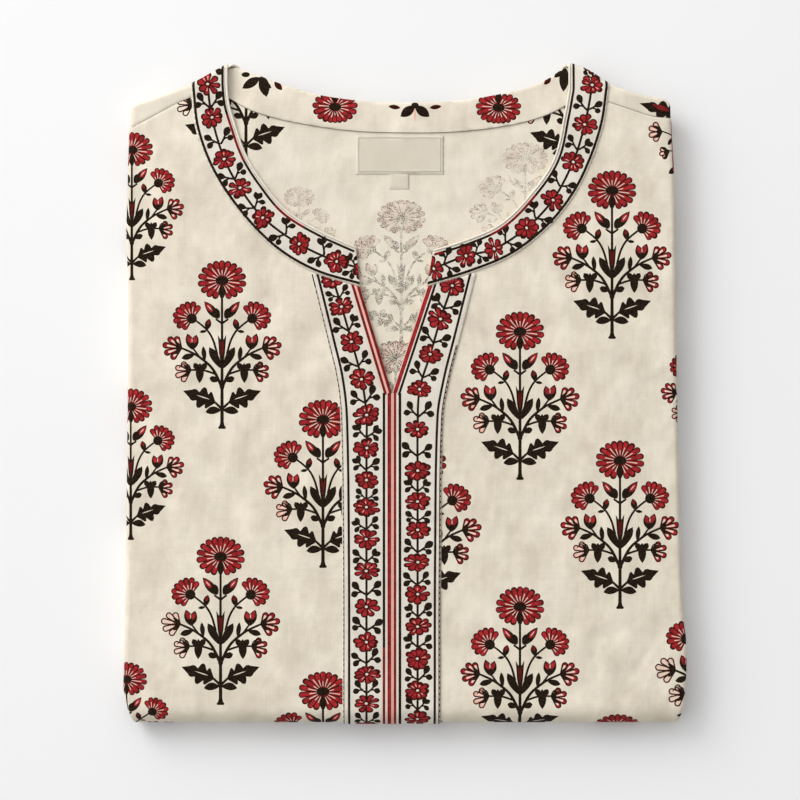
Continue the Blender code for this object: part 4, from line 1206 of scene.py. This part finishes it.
# ---------------------------------------------------------------- neckband, plackets and piping
LINE_IN = (1.5, 2.8)
LINE_OUT = (0.9, 2.3)
CENTRE_STRIPES = {-1: ((0.0, 0.45, PEACH), (0.45, 1.0, DARK_RED), (1.0, 1.6, RED), (1.6, 2.35, DARK_RED),
                       (2.35, 2.9, BLUSH)),
                  1: ((0.0, 0.9, PEACH), (0.9, 2.2, DARK_RED), (2.2, 2.6, BLUSH), (3.45, 4.95, BLACK))}
SLIT_STRIPES = {-1: ((0.0, 1.5, DARK_RED), (1.5, 2.75, PEACH), (2.75, 4.15, DARK_RED),
                     (4.15, 5.6, GLINT)),
                1: ((0.0, 0.4, BLUSH), (0.4, 2.5, RED), (3.1, 4.4, BLACK))}
PLACKET_LINE_IN = (3.6, 5.0)
LINE_IN_REDDENS = -138.0
PLACKET_LINE_OUT = {-1: (2.9, 4.2), 1: (2.7, 4.0)}
PLACKET_EDGE_LINE = {-1: (0.35, 1.05), 1: (0.3, 1.4)}
EDGE_LINE_STARTS = 27.0
PLACKET_SEAM = 0.7
LINE_RUN_UP = 6.0
BAND_SEAM = 0.62
BAND_INSET = 0.55
BAND_FLOWER = (13.3, 12.4)
BAND_SPRIG = 0.97
BAND_ROWS = (50.0, 196.0)
BAND_COLUMNS = {-1: (-122.0, -20.0), 1: (8.0, 118.0)}
BAND_LOW_GRID = 2.6
BAND_SOFT_EDGES = (0.9, 0.6)
BAND_SEED = 31
PLACKET_SOFT_EDGES = (0.8, 0.4)
PLACKET_SEED = 57
PLACKET_SEGMENTS = 12
PLACKET_FLOWER = (14.4, 11.2)
PLACKET_TOP = 68.0
PLACKET_COLUMNS = {-1: (-52.0, CENTRE_LINE), 1: (CENTRE_LINE, 40.0)}
PLACKET_LOW_GRID = 3.2
LINE_BLUSHES = {-1: ((126.0, 153.0), (92.0, 104.5)), 1: ((74.0, 79.6), (88.0, 110.0))}


def band_edge(edge):
    """A neckband edge from the slit up to the shoulder, over the fold and tucked behind."""
    path = smooth_path(edge, GRID * 0.8)[::-1]
    u = path[-1][0]
    over = turn_lines(float(shoulder_start(u)), SHOULDER_RADIUS, math.pi, FOLD_SEGMENTS)
    over.append(over[-1] + BAND_TUCK / 2)
    over.append(over[-1] + BAND_TUCK / 2)
    return path + [(u, v) for v in over if v > path[-1][1] + 0.4]


def raised(rims, soft_edges, seams):
    """Depth of a strip's outer face: proud in the middle, pressed down along its soft edges."""
    def depth(u, v):
        share = np.ones(len(u))
        for rim, soft_edge in zip(rims, soft_edges):
            share = np.minimum(share, path_distance(u, v, rim) / soft_edge)
        rise = BAND_EDGE_HEIGHT + (BAND_HEIGHT - BAND_EDGE_HEIGHT) * np.sqrt(1 - (1 - share) ** 2)
        return -rise - thread_groove(seams)(u, v)
    return depth


def stripes(path, side, rows):
    """Printed lines along a path, each between two distances to one side of it."""
    return [band_between(path, side * near, side * far, ink) for near, far, ink in rows]


def make_neckband(side, neck_table, outer_table, flowers, material):
    """Half of the neckband, printed with a vine of flowers between two lines."""
    name = "neckband_left" if side < 0 else "neckband_right"
    neck = band_edge(neck_table)
    outer = band_edge(outer_table)
    inner = offset_path(neck, -side * BAND_INSET)
    inner[0] = neck[0]
    shapes = border_vine(flowers, BAND_FLOWER, BAND_SEED + side, BAND_SPRIG)
    shapes += stripes(neck, -side, [(*LINE_IN, BLACK)]) + stripes(outer, side, [(*LINE_OUT, BLACK)])
    for low, high in LINE_BLUSHES[side]:
        reddened = [p for p in neck if low < p[1] < high]
        shapes += stripes(reddened, -side, [(*LINE_IN, DARK_RED), (LINE_IN[0] - 0.5, LINE_IN[0], BLUSH)])
    seam = offset_path(outer, side * BAND_SEAM)
    top_fill = woven_rows(spread(*BAND_ROWS, FINE_GRID), *BAND_COLUMNS[side], FINE_GRID)
    low_fill = woven_rows(spread(*BAND_ROWS, BAND_LOW_GRID), *BAND_COLUMNS[side], BAND_LOW_GRID)
    upper = Face(raised((inner, outer), BAND_SOFT_EDGES, [seam]), shapes, top_fill)
    lower = Face(-BAND_UNDERSIDE, (), low_fill)
    outline = inner + outer[::-1]
    return cloth_piece(name + "_cloth", outline, upper, lower, material, [name])


def slit_edge(side):
    """The inner edge of a placket: beside the slit, then down the middle and round the fold."""
    top = BAND_OUTER_LEFT[-1] if side < 0 else BAND_OUTER_RIGHT[-1]
    centre = CENTRE_LINE + side * JOIN_GAP
    path = smooth_path(((top.x, top.y - 0.5), (centre, SLIT_TIP_Y)), GRID)
    path += [(centre, v) for v in spread(SLIT_TIP_Y, BOTTOM_TURN, GRID)[1:]]
    turned = turn_lines(BOTTOM_TURN, -BOTTOM_RADIUS, PLACKET_TURN, PLACKET_SEGMENTS)
    path += [(centre, v) for v in turned[1:]]
    return path


def run_up(path):
    """A path carried straight on before its start, so that a line printed along it has no gap."""
    length = math.dist(path[0], path[1])
    ahead = [a + (a - b) * LINE_RUN_UP / length for a, b in zip(path[0], path[1])]
    return [tuple(ahead)] + list(path)


def placket_edge(edge):
    """The outer edge of a placket, down the front and round the bottom fold."""
    path = [p for p in smooth_path(edge, GRID) if p[1] > BOTTOM_TURN + 1.0]
    turned = turn_lines(BOTTOM_TURN, -BOTTOM_RADIUS, PLACKET_TURN, PLACKET_SEGMENTS)
    return path + [(edge[-1].x, v) for v in turned]


def make_placket(side, outer_table, band_table, flowers, material):
    """One placket strip, with its lines, vine and red inner fold."""
    name = "placket_left" if side < 0 else "placket_right"
    inner = slit_edge(side)
    outer = placket_edge(outer_table)
    widest = abs(outer_table[0].x) - 0.5
    top = [(x, y - 0.15) for x, y in smooth_path(band_table, GRID) if abs(x) < widest]
    shapes = border_vine(flowers, PLACKET_FLOWER, PLACKET_SEED + side)
    tip = min(i for i, p in enumerate(inner) if p[1] <= SLIT_TIP_Y)
    below = inner[tip:]
    shapes += stripes(run_up(inner[:tip + 1]), side, SLIT_STRIPES[side])
    shapes += stripes(below, side, CENTRE_STRIPES[side])
    edging = [p for p in outer if p[1] < EDGE_LINE_STARTS]
    if side < 0:
        dark = [p for p in below if p[1] > LINE_IN_REDDENS]
        reddened = dark[-1:] + [p for p in below if p[1] <= LINE_IN_REDDENS]
        shapes += stripes(dark, side, [(*PLACKET_LINE_IN, BLACK)])
        shapes += stripes(reddened, side, [(*PLACKET_LINE_IN, DARK_RED)])
        edging = outer
    shapes += stripes(run_up(outer), -side, [(*PLACKET_LINE_OUT[side], BLACK)])
    shapes += stripes(edging, -side, [(*PLACKET_EDGE_LINE[side], OUTLINE)])
    rows = spread(PLACKET_TOP, outer[-1][1], FINE_GRID)
    seam = offset_path(outer, -side * PLACKET_SEAM)
    top_fill = woven_rows(rows, *PLACKET_COLUMNS[side], FINE_GRID)
    low_fill = woven_rows(rows[::3], *PLACKET_COLUMNS[side], PLACKET_LOW_GRID)
    upper = Face(raised((outer, top), PLACKET_SOFT_EDGES, [seam]), shapes, top_fill)
    lower = Face(-BAND_UNDERSIDE, (), low_fill)
    outline = top[::-1] + outer + inner[::-1]
    return cloth_piece(name + "_cloth", outline, upper, lower, material, [name])


PIPING_SIDES = 10
PIPING_LIFT = 0.05


def make_piping(side, neck_table, material):
    """The rolled cream edge sewn along the neck opening."""
    name = "neck_piping_left" if side < 0 else "neck_piping_right"
    us, vs = np.array(band_edge(neck_table)).T
    centre = place(us, vs, -PIPING_RADIUS - PIPING_LIFT) / MM
    above = place(us, vs, -2.0) / MM
    last = len(us) - 1
    bm = bmesh.new()
    rings = []
    for i, spot in enumerate(centre):
        ahead = Vector(centre[min(i + 1, last)] - centre[max(i - 1, 0)]).normalized()
        across = ahead.cross(Vector(above[i] - spot).normalized()).normalized()
        radius = PIPING_RADIUS * (0.6 if i in (0, last) else 1.0)
        rings.append(cord_ring(bm, Vector(spot), across, across.cross(ahead), radius, PIPING_SIDES))
    skin_rings(bm, rings)
    return finish_bmesh(name, bm, material)


# ---------------------------------------------------------------- stitching
StitchRow = namedtuple("StitchRow", "path depth")
StitchRing = namedtuple("StitchRing", "share width lift")
STITCH_RINGS = named_rows(
    StitchRing, (0.0, 0.35, -0.10), (0.16, 0.95, 0.05), (0.5, 1.0, 0.12), (0.84, 0.95, 0.05),
    (1.0, 0.35, -0.10))
STITCH = 2.3
STITCH_GAP = 0.75
STITCH_SEED = 5
UNEVEN_STITCH = (0.9, 1.08)
UNEVEN_GAP = (0.8, 1.2)
BAND_THREAD_DEPTH = -BAND_HEIGHT + 0.22
PLACKET_THREAD_DEPTH = -BAND_HEIGHT + 0.1
PLACKET_STITCH_TOP = 60.0
THREAD_SIDES = 6
THREAD_FLATNESS = 0.8


def add_stitch(bm, us, vs, depth):
    """One short thread that dips into the cloth at both ends."""
    centre = place(us, vs, depth - np.array([ring.lift for ring in STITCH_RINGS])) / MM
    above = place(us, vs, depth - 1.0) / MM
    ahead = Vector(centre[-1] - centre[0]).normalized()
    rings = []
    for spot, high, ring in zip(centre, above, STITCH_RINGS):
        up = Vector(high - spot).normalized()
        rings.append(cord_ring(bm, Vector(spot), ahead.cross(up).normalized(), up * THREAD_FLATNESS,
                               THREAD_RADIUS * ring.width, THREAD_SIDES))
    skin_rings(bm, rings)


def make_stitches(name, rows, material):
    """Rows of sewn stitches of slightly uneven length."""
    rng = random.Random(STITCH_SEED)
    bm = bmesh.new()
    for row in rows:
        marks = [0.0]
        for before, after in zip(row.path, row.path[1:]):
            marks.append(marks[-1] + math.dist(before, after))
        xs, ys = zip(*row.path)
        at = STITCH_GAP
        while at + STITCH < marks[-1]:
            length = STITCH * rng.uniform(*UNEVEN_STITCH)
            spots = [at + length * ring.share for ring in STITCH_RINGS]
            add_stitch(bm, np.interp(spots, marks, xs), np.interp(spots, marks, ys), row.depth)
            at += length + STITCH_GAP * rng.uniform(*UNEVEN_GAP)
    return finish_bmesh(name, bm, material)


# ---------------------------------------------------------------- hidden layers
CORE_LAYERS = 2
CORE_BASE = 1.3
CORE_MIDDLE = (STORY + 0.3, STORY * 2 + 0.3)
CORE_CROWN = 12.4
CORE_INSET = 2.0
CORE_BLOCK_INSET = SIDE_RADIUS + 15.0
CORE_ARC_SEGMENTS = 9
CORE_STATIONS = 90
CORE_ENDS = ((0.0, 1.2), (0.5, 0.5))
CORE_END_LENGTH = 1.4
CORE_END_CLEARANCE = (1.2, 1.0)
CORE_FULLNESS = 0.96
CORE_LOBE_INSET = 0.6


def core_section(y, inset):
    """Outline across the hidden layers at one height up the garment: folds of cloth at each side."""
    low, high = CORE_MIDDLE
    lobe = (high - low) / CORE_LAYERS / 2
    points = []
    for side in (1, -1):
        edge = float(RIGHT_EDGE(y) if side > 0 else -LEFT_EDGE(y)) - CORE_INSET - inset
        block = edge - CORE_BLOCK_INSET
        half = [(block, CORE_BASE + inset), (block, low + inset)]
        for layer in range(CORE_LAYERS):
            centre = low + lobe * (2 * layer + 1)
            sway = 0.45 * math.sin(y * 0.041 + 1.9 * layer + side)
            sway += 0.3 * math.sin(y * 0.093 + 4.0 * layer)
            for i in range(CORE_ARC_SEGMENTS + 1):
                turn = math.pi * (i / CORE_ARC_SEGMENTS - 0.5)
                height = centre + (lobe - inset / CORE_LAYERS) * math.sin(turn) * CORE_FULLNESS
                half.append((edge - lobe - CORE_LOBE_INSET + sway + lobe * math.cos(turn), height))
        half += [(block, high - inset), (block, CORE_CROWN - inset)]
        points += [(side * x, y, z) for x, z in (half if side > 0 else reversed(half))]
    return points


def make_layers(material):
    """The hidden folds, sleeves and lower body, as one soft block layered at its edges."""
    start = BOTTOM_TURN + CORE_END_CLEARANCE[0]
    end = STACK_TOP - STACK_RADIUS - CORE_END_CLEARANCE[1]
    middle = spread(start + CORE_END_LENGTH, end - CORE_END_LENGTH, (end - start) / CORE_STATIONS)
    stations = [(start + way, inset) for way, inset in CORE_ENDS]
    stations += [(y, 0.0) for y in middle]
    stations += [(end - way, inset) for way, inset in reversed(CORE_ENDS)]
    bm = bmesh.new()
    rings = [[bm.verts.new(Vector(p) * MM) for p in core_section(y, inset)] for y, inset in stations]
    skin_rings(bm, rings)
    return finish_bmesh("folded_cloth", bm, material, ["folded_layers"])


# ---------------------------------------------------------------- shared shader effects
def wire(tree, socket, value):
    """Feeds a shader socket from another socket or sets its plain value."""
    if isinstance(value, bpy.types.NodeSocket):
        tree.links.new(value, socket)
    else:
        socket.default_value = value


def add_node(tree, kind, values=(), **settings):
    """A shader node with its settings and the given input values, by name or number."""
    node = tree.nodes.new(kind)
    for key, value in settings.items():
        setattr(node, key, value)
    for key, value in dict(values).items():
        wire(tree, node.inputs[key], value)
    return node


def maths(tree, operation, *values):
    """The result of one sum on shader values."""
    return add_node(tree, "ShaderNodeMath", enumerate(values), operation=operation).outputs[0]


def weighted_sum(tree, *terms):
    """The sum of shader values, each times its weight."""
    parts = [maths(tree, "MULTIPLY", value, weight) for value, weight in terms]
    total = parts[0]
    for part in parts[1:]:
        total = maths(tree, "ADD", total, part)
    return total


def blend_colour(tree, share, first, second):
    """A colour between two others."""
    node = add_node(tree, "ShaderNodeMix", {"Factor": share, "A": first, "B": second}, data_type="RGBA")
    return node.outputs["Result"]


def rescale(tree, value, low, high, new_low=0.0, new_high=1.0):
    """A value stretched from one range to another and held inside it."""
    node = add_node(tree, "ShaderNodeMapRange", {"Value": value, "From Min": low, "From Max": high,
                                                 "To Min": new_low, "To Max": new_high})
    return node.outputs["Result"]


def new_material(name, plain):
    """A material, its node tree and its shader, with the shader's plain values set."""
    material = bpy.data.materials.new(name)
    material.use_nodes = True
    shader = material.node_tree.nodes["Principled BSDF"]
    for key, value in plain.items():
        shader.inputs[key].default_value = value
    return material, material.node_tree, shader


def add_relief(tree, shader, height, strength, distance):
    """Fine relief of a surface, from a height that changes over it."""
    bump = add_node(tree, "ShaderNodeBump",
                    {"Height": height, "Strength": strength, "Distance": distance})
    wire(tree, shader.inputs["Normal"], bump.outputs["Normal"])


def grain_in_space(tree, scale, detail):
    """Noise laid out in a piece's own space, for pieces with no flat pattern."""
    where = add_node(tree, "ShaderNodeTexCoord").outputs["Object"]
    node = add_node(tree, "ShaderNodeTexNoise", {"Vector": where, "Scale": scale, "Detail": detail})
    return node.outputs[0]


def new_group(name, inputs, outputs):
    """An empty shader node group with named inputs and outputs."""
    group = bpy.data.node_groups.new(name, "ShaderNodeTree")
    for label, kind, value in inputs:
        socket = group.interface.new_socket(label, in_out="INPUT", socket_type=kind)
        if value is not None:
            socket.default_value = value
    for label, kind in outputs:
        group.interface.new_socket(label, in_out="OUTPUT", socket_type=kind)
    return group, group.nodes.new("NodeGroupInput"), group.nodes.new("NodeGroupOutput")


def scaled_place(tree, place_socket, x, y):
    """Flat cloth places, in millimetres, stretched by a scale each way."""
    node = add_node(tree, "ShaderNodeVectorMath", {0: place_socket, 1: (100.0 * x, 100.0 * y, 0.0)},
                    operation="MULTIPLY")
    return node.outputs[0]


def noise(tree, place_socket, x, y, detail=2.0, rough=0.55):
    """Noise on the flat cloth, so many patches to the millimetre each way."""
    node = add_node(tree, "ShaderNodeTexNoise", {"Vector": scaled_place(tree, place_socket, x, y),
                                                 "Scale": 1.0, "Detail": detail, "Roughness": rough})
    return node.outputs[0]


def weave_group():
    """Plain weave: threads that pass over and under, with a little wander."""
    group, given, made = new_group(
        "plain_weave",
        (("Place", "NodeSocketVector", None), ("Threads", "NodeSocketFloat", 2.4),
         ("Wander", "NodeSocketFloat", 0.5)),
        (("Height", "NodeSocketFloat"),))
    here = given.outputs["Place"]
    drift = maths(group, "SUBTRACT", noise(group, here, 0.35, 0.35, 1.0), 0.5)
    wander = maths(group, "MULTIPLY", drift, given.outputs["Wander"])
    split = add_node(group, "ShaderNodeSeparateXYZ", {0: scaled_place(group, here, 1.0, 1.0)})
    waves = []
    for axis in (0, 1):
        along = maths(group, "MULTIPLY", split.outputs[axis], given.outputs["Threads"])
        along = maths(group, "ADD", along, wander)
        waves.append(maths(group, "SINE", maths(group, "MULTIPLY", along, math.pi)))
    over = maths(group, "GREATER_THAN", maths(group, "MULTIPLY", *waves), 0.0)
    under = maths(group, "SUBTRACT", 1.0, over)
    warp, weft = [maths(group, "ABSOLUTE", wave) for wave in waves]
    wire(group, made.inputs["Height"], weighted_sum(group, (warp, over), (weft, under)))
    return group


def slub_group():
    """Long uneven yarns both ways, and the soft clouding of washed cotton."""
    group, given, made = new_group(
        "cotton_slubs", (("Place", "NodeSocketVector", None),),
        (("Yarns", "NodeSocketFloat"), ("Clouds", "NodeSocketFloat")))
    here = given.outputs["Place"]
    across = noise(group, here, 0.045, 1.5, 2.0)
    along = noise(group, here, 1.3, 0.04, 2.0)
    yarns = maths(group, "MULTIPLY", maths(group, "ADD", across, along), 0.5)
    wire(group, made.inputs["Yarns"], rescale(group, yarns, 0.36, 0.64))
    clouds = noise(group, here, 0.055, 0.04, 3.0, 0.6)
    wire(group, made.inputs["Clouds"], rescale(group, clouds, 0.32, 0.68))
    return group


def ink_group():
    """Hand-printed ink: an amount broken up by the cloth's grain, more so where it is faint."""
    group, given, made = new_group(
        "block_ink",
        (("Amount", "NodeSocketFloat", 0.0), ("Place", "NodeSocketVector", None),
         ("Pale", "NodeSocketFloat", 0.0)),
        (("Cover", "NodeSocketFloat"), ("Depth", "NodeSocketFloat")))
    here = given.outputs["Place"]
    grain = rescale(group, noise(group, here, 2.1, 2.1, 2.0, 0.7), 0.34, 0.66)
    patch = rescale(group, noise(group, here, 0.30, 0.30, 2.0), 0.3, 0.7)
    flecks = maths(group, "MULTIPLY", rescale(group, grain, 0.62, 1.0), 0.07)
    firm = maths(group, "SUBTRACT", 1.0, flecks)
    faint = maths(group, "MULTIPLY", rescale(group, grain, 0.36, 0.80, 0.0, 2.1),
                  rescale(group, patch, 0.2, 0.8, 0.25, 1.5))
    hold = add_node(group, "ShaderNodeMix", {0: given.outputs["Pale"], "A": firm, "B": faint},
                    data_type="FLOAT")
    cover = maths(group, "MULTIPLY", hold.outputs["Result"], given.outputs["Amount"])
    wire(group, made.inputs["Cover"], cover)
    blotch = maths(group, "MULTIPLY", maths(group, "ADD", grain, patch), 0.5)
    wire(group, made.inputs["Depth"], rescale(group, blotch, 0.22, 0.84))
    return group


Inks = namedtuple("Inks", "red black")
CREAM = (0.895, 0.812, 0.674, 1.0)
CREAM_SHADE = (0.670, 0.593, 0.476, 1.0)
INNER_CREAM = (0.870, 0.797, 0.668, 1.0)
INNER_SHADE = (0.720, 0.645, 0.522, 1.0)
BAND_CREAM = (0.835, 0.785, 0.690, 1.0)
BAND_SHADE = (0.720, 0.660, 0.565, 1.0)
LABEL_CREAM = (0.800, 0.735, 0.600, 1.0)
LABEL_SHADE = (0.745, 0.675, 0.540, 1.0)
MADDER = (0.500, 0.024, 0.030, 1.0)
THIN_MADDER = (0.960, 0.130, 0.090, 1.0)
IRON_BLACK = (0.0085, 0.0035, 0.0008, 1.0)
LABEL_BROWN = (0.130, 0.095, 0.065, 1.0)
THREAD_CREAM = (0.72, 0.64, 0.50, 1.0)
THREAD_SHADE = (0.52, 0.44, 0.33, 1.0)
INK_SHADES = {MADDER: (0.120, 0.006, 0.007, 1.0), IRON_BLACK: (0.016, 0.007, 0.002, 1.0),
              LABEL_BROWN: (0.200, 0.150, 0.105, 1.0)}


def cloth_material(name, groups, cloth, shade, inks, threads=2.5, weave_depth=0.28, sheen=0.05):
    """Printed cotton: slubbed yarns, woven grain and ink that follows the printed shapes."""
    material, tree, shader = new_material(
        name, {"Sheen Weight": sheen, "Sheen Roughness": 0.5, "Specular IOR Level": 0.03})
    here = add_node(tree, "ShaderNodeUVMap", uv_map="cloth").outputs["UV"]
    tones = add_node(tree, "ShaderNodeVertexColor", layer_name="ink")
    red, black, pale = add_node(tree, "ShaderNodeSeparateColor", {0: tones.outputs["Color"]}).outputs

    slubs = add_node(tree, "ShaderNodeGroup", {"Place": here}, node_tree=groups["slubs"]).outputs
    share = weighted_sum(tree, (slubs["Yarns"], 0.20), (slubs["Clouds"], 0.80))
    colour = blend_colour(tree, share, cloth, shade)
    covers = []
    for amount, ink in ((red, inks.red), (black, inks.black)):
        printed = add_node(tree, "ShaderNodeGroup", {"Amount": amount, "Place": here, "Pale": pale},
                           node_tree=groups["ink"]).outputs
        ink_colour = blend_colour(tree, printed["Depth"], ink, INK_SHADES[ink])
        if ink == MADDER:
            fresh = maths(tree, "SUBTRACT", 1.0, pale)
            thin = maths(tree, "MULTIPLY", rescale(tree, amount, 0.45, 0.85, 1.0, 0.0), fresh)
            ink_colour = blend_colour(tree, thin, ink_colour, THIN_MADDER)
        colour = blend_colour(tree, printed["Cover"], colour, ink_colour)
        covers.append(printed["Cover"])
    wire(tree, shader.inputs["Base Color"], colour)
    wire(tree, shader.inputs["Roughness"],
         rescale(tree, maths(tree, "MAXIMUM", *covers), 0.0, 1.0, 0.93, 0.80))

    weave = add_node(tree, "ShaderNodeGroup", {"Place": here, "Threads": threads},
                     node_tree=groups["weave"])
    height = weighted_sum(tree, (weave.outputs["Height"], weave_depth), (slubs["Yarns"], 0.35),
                          (noise(tree, here, 0.22, 0.22, 3.0), 1.6),
                          (noise(tree, here, 0.05, 0.036, 2.0), 16.0))
    add_relief(tree, shader, height, 0.5, 0.00022)
    return material


def thread_material(name, colour, shade):
    """Spun sewing thread, darker in its twist."""
    material, tree, shader = new_material(name, {"Roughness": 0.7, "Sheen Weight": 0.1})
    twist = rescale(tree, grain_in_space(tree, 2400.0, 1.0), 0.4, 0.6)
    wire(tree, shader.inputs["Base Color"], blend_colour(tree, twist, colour, shade))
    add_relief(tree, shader, twist, 0.4, 0.0001)
    return material


def plain_cotton(name, cloth, shade):
    """Unprinted cotton for piping and hidden folds, its grain laid out in space."""
    material, tree, shader = new_material(
        name, {"Roughness": 0.92, "Sheen Weight": 0.2, "Specular IOR Level": 0.25})
    yarns = grain_in_space(tree, 900.0, 2.0)
    share = maths(tree, "MULTIPLY", maths(tree, "ADD", yarns, grain_in_space(tree, 60.0, 3.0)), 0.5)
    colour = blend_colour(tree, rescale(tree, share, 0.36, 0.64), cloth, shade)
    wire(tree, shader.inputs["Base Color"], colour)
    add_relief(tree, shader, yarns, 0.5, 0.0003)
    return material


# ---------------------------------------------------------------- the pieces, put together
def dress_garment():
    """Every piece of the garment, each over the solid that carries it."""
    groups = {"weave": weave_group(), "slubs": slub_group(), "ink": ink_group()}
    print_inks = Inks(red=MADDER, black=IRON_BLACK)
    printed = cloth_material("printed_cotton", groups, CREAM, CREAM_SHADE, print_inks)
    border = cloth_material("border_cotton", groups, BAND_CREAM, BAND_SHADE, print_inks, weave_depth=0.5)
    inner = cloth_material("inner_cotton", groups, INNER_CREAM, INNER_SHADE, print_inks)
    woven = cloth_material("woven_label", groups, LABEL_CREAM, LABEL_SHADE,
                           Inks(red=MADDER, black=LABEL_BROWN), threads=3.4, weave_depth=0.9, sheen=0.3)
    edging = plain_cotton("piping_cotton", BAND_CREAM, BAND_SHADE)
    thread = thread_material("cream_thread", THREAD_CREAM, THREAD_SHADE)

    front = make_front(printed)
    under = make_underside(printed)
    back = make_back(inner)
    facing = make_facing(printed)
    border_line = frame_lines(LABEL, *LABEL_FRAME, FRAME_AND_SHADOW_BROWN)
    label = make_patch("label", LABEL, LABEL_HEIGHT, border_line, woven)
    tab = make_patch("size_tab", SIZE_TAB, TAB_HEIGHT, (), woven)
    bands = [make_neckband(-1, NECK_EDGE_LEFT, BAND_OUTER_LEFT, NECK_FLOWERS_LEFT, border),
             make_neckband(1, NECK_EDGE_RIGHT, BAND_OUTER_RIGHT, NECK_FLOWERS_RIGHT, border)]
    plackets = [make_placket(-1, PLACKET_OUTER_LEFT, BAND_OUTER_LEFT, PLACKET_FLOWERS_LEFT, border),
                make_placket(1, PLACKET_OUTER_RIGHT, BAND_OUTER_RIGHT, PLACKET_FLOWERS_RIGHT, border)]
    make_piping(-1, NECK_EDGE_LEFT, edging)
    make_piping(1, NECK_EDGE_RIGHT, edging)
    make_layers(plain_cotton("folded_cotton", INNER_CREAM, INNER_SHADE))
    sew_garment(thread)


def sew_garment(thread):
    """Topstitching along the outer edges of the neckbands and the plackets."""
    bands = [StitchRow(offset_path(band_edge(edge), side * BAND_SEAM), BAND_THREAD_DEPTH)
             for side, edge in ((-1, BAND_OUTER_LEFT), (1, BAND_OUTER_RIGHT))]
    make_stitches("neckband_stitches", bands, thread)
    plackets = []
    for side, edge in ((-1, PLACKET_OUTER_LEFT), (1, PLACKET_OUTER_RIGHT)):
        outer = [p for p in placket_edge(edge) if p[1] < PLACKET_STITCH_TOP]
        plackets.append(StitchRow(offset_path(outer, -side * PLACKET_SEAM), PLACKET_THREAD_DEPTH))
    make_stitches("placket_stitches", plackets, thread)


CAMERA_HEIGHT = 1.6
FRAME_WIDTH = 0.432
FRAME_CENTRE = (-0.0027, -0.0027)
SENSOR_WIDTH = 36.0
WORLD_LIGHT = 0.32
SKY_GLOW = 1.45
SKY_FOCUS = 1.85
KEY_POWER = 19.4
KEY_SIZE = 1.3
KEY_PLACE = (-1.25, 1.25, 1.15)
FLOOR_REACH = 6.0
FLOOR_HEIGHT = -0.0002
FLOOR_WHITE = (0.90, 0.90, 0.905, 1.0)


def add_floor():
    """A wide pale floor, just below the garment."""
    mesh = bpy.data.meshes.new("floor")
    corners = [(x * FLOOR_REACH, y * FLOOR_REACH, FLOOR_HEIGHT)
               for x, y in ((-1, -1), (1, -1), (1, 1), (-1, 1))]
    mesh.from_pydata(corners, [], [(0, 1, 2, 3)])
    material, _, _ = new_material(
        "floor_paper", {"Base Color": FLOOR_WHITE, "Roughness": 0.9, "Specular IOR Level": 0.1})
    mesh.materials.append(material)
    add_object("floor", mesh)


def light_room():
    """Soft light from the upper left: a bright patch of sky and one large lamp."""
    world = bpy.data.worlds.new("soft_room")
    world.use_nodes = True
    sky = world.node_tree
    where = add_node(sky, "ShaderNodeTexCoord").outputs["Generated"]
    facing = add_node(sky, "ShaderNodeVectorMath", {0: where, 1: Vector(KEY_PLACE).normalized()},
                      operation="DOT_PRODUCT")
    glow = maths(sky, "POWER", maths(sky, "MAXIMUM", facing.outputs["Value"], 0.0), SKY_FOCUS)
    light = maths(sky, "ADD", maths(sky, "MULTIPLY", glow, SKY_GLOW), WORLD_LIGHT)
    background = sky.nodes["Background"]
    background.inputs["Color"].default_value = (1.0, 1.0, 1.0, 1.0)
    wire(sky, background.inputs["Strength"], light)
    bpy.context.scene.world = world

    window = bpy.data.lights.new("window", "AREA")
    window.shape = "DISK"
    window.size = KEY_SIZE
    window.energy = KEY_POWER
    lamp = add_object("window", window)
    lamp.location = KEY_PLACE
    lamp.rotation_euler = (-Vector(KEY_PLACE)).to_track_quat("-Z", "Y").to_euler()


def aim_camera():
    """A camera straight above, whose frame is a set width at the garment's top face."""
    lens = bpy.data.cameras.new("camera")
    lens.sensor_width = SENSOR_WIDTH
    lens.lens = lens.sensor_width * (CAMERA_HEIGHT - TOP_FACE * MM) / FRAME_WIDTH
    lens.clip_start = 0.05
    camera = add_object("camera", lens)
    camera.location = (*FRAME_CENTRE, CAMERA_HEIGHT)
    bpy.context.scene.camera = camera
    bpy.context.scene.view_settings.view_transform = "Standard"


add_floor()
light_room()
aim_camera()
dress_garment()
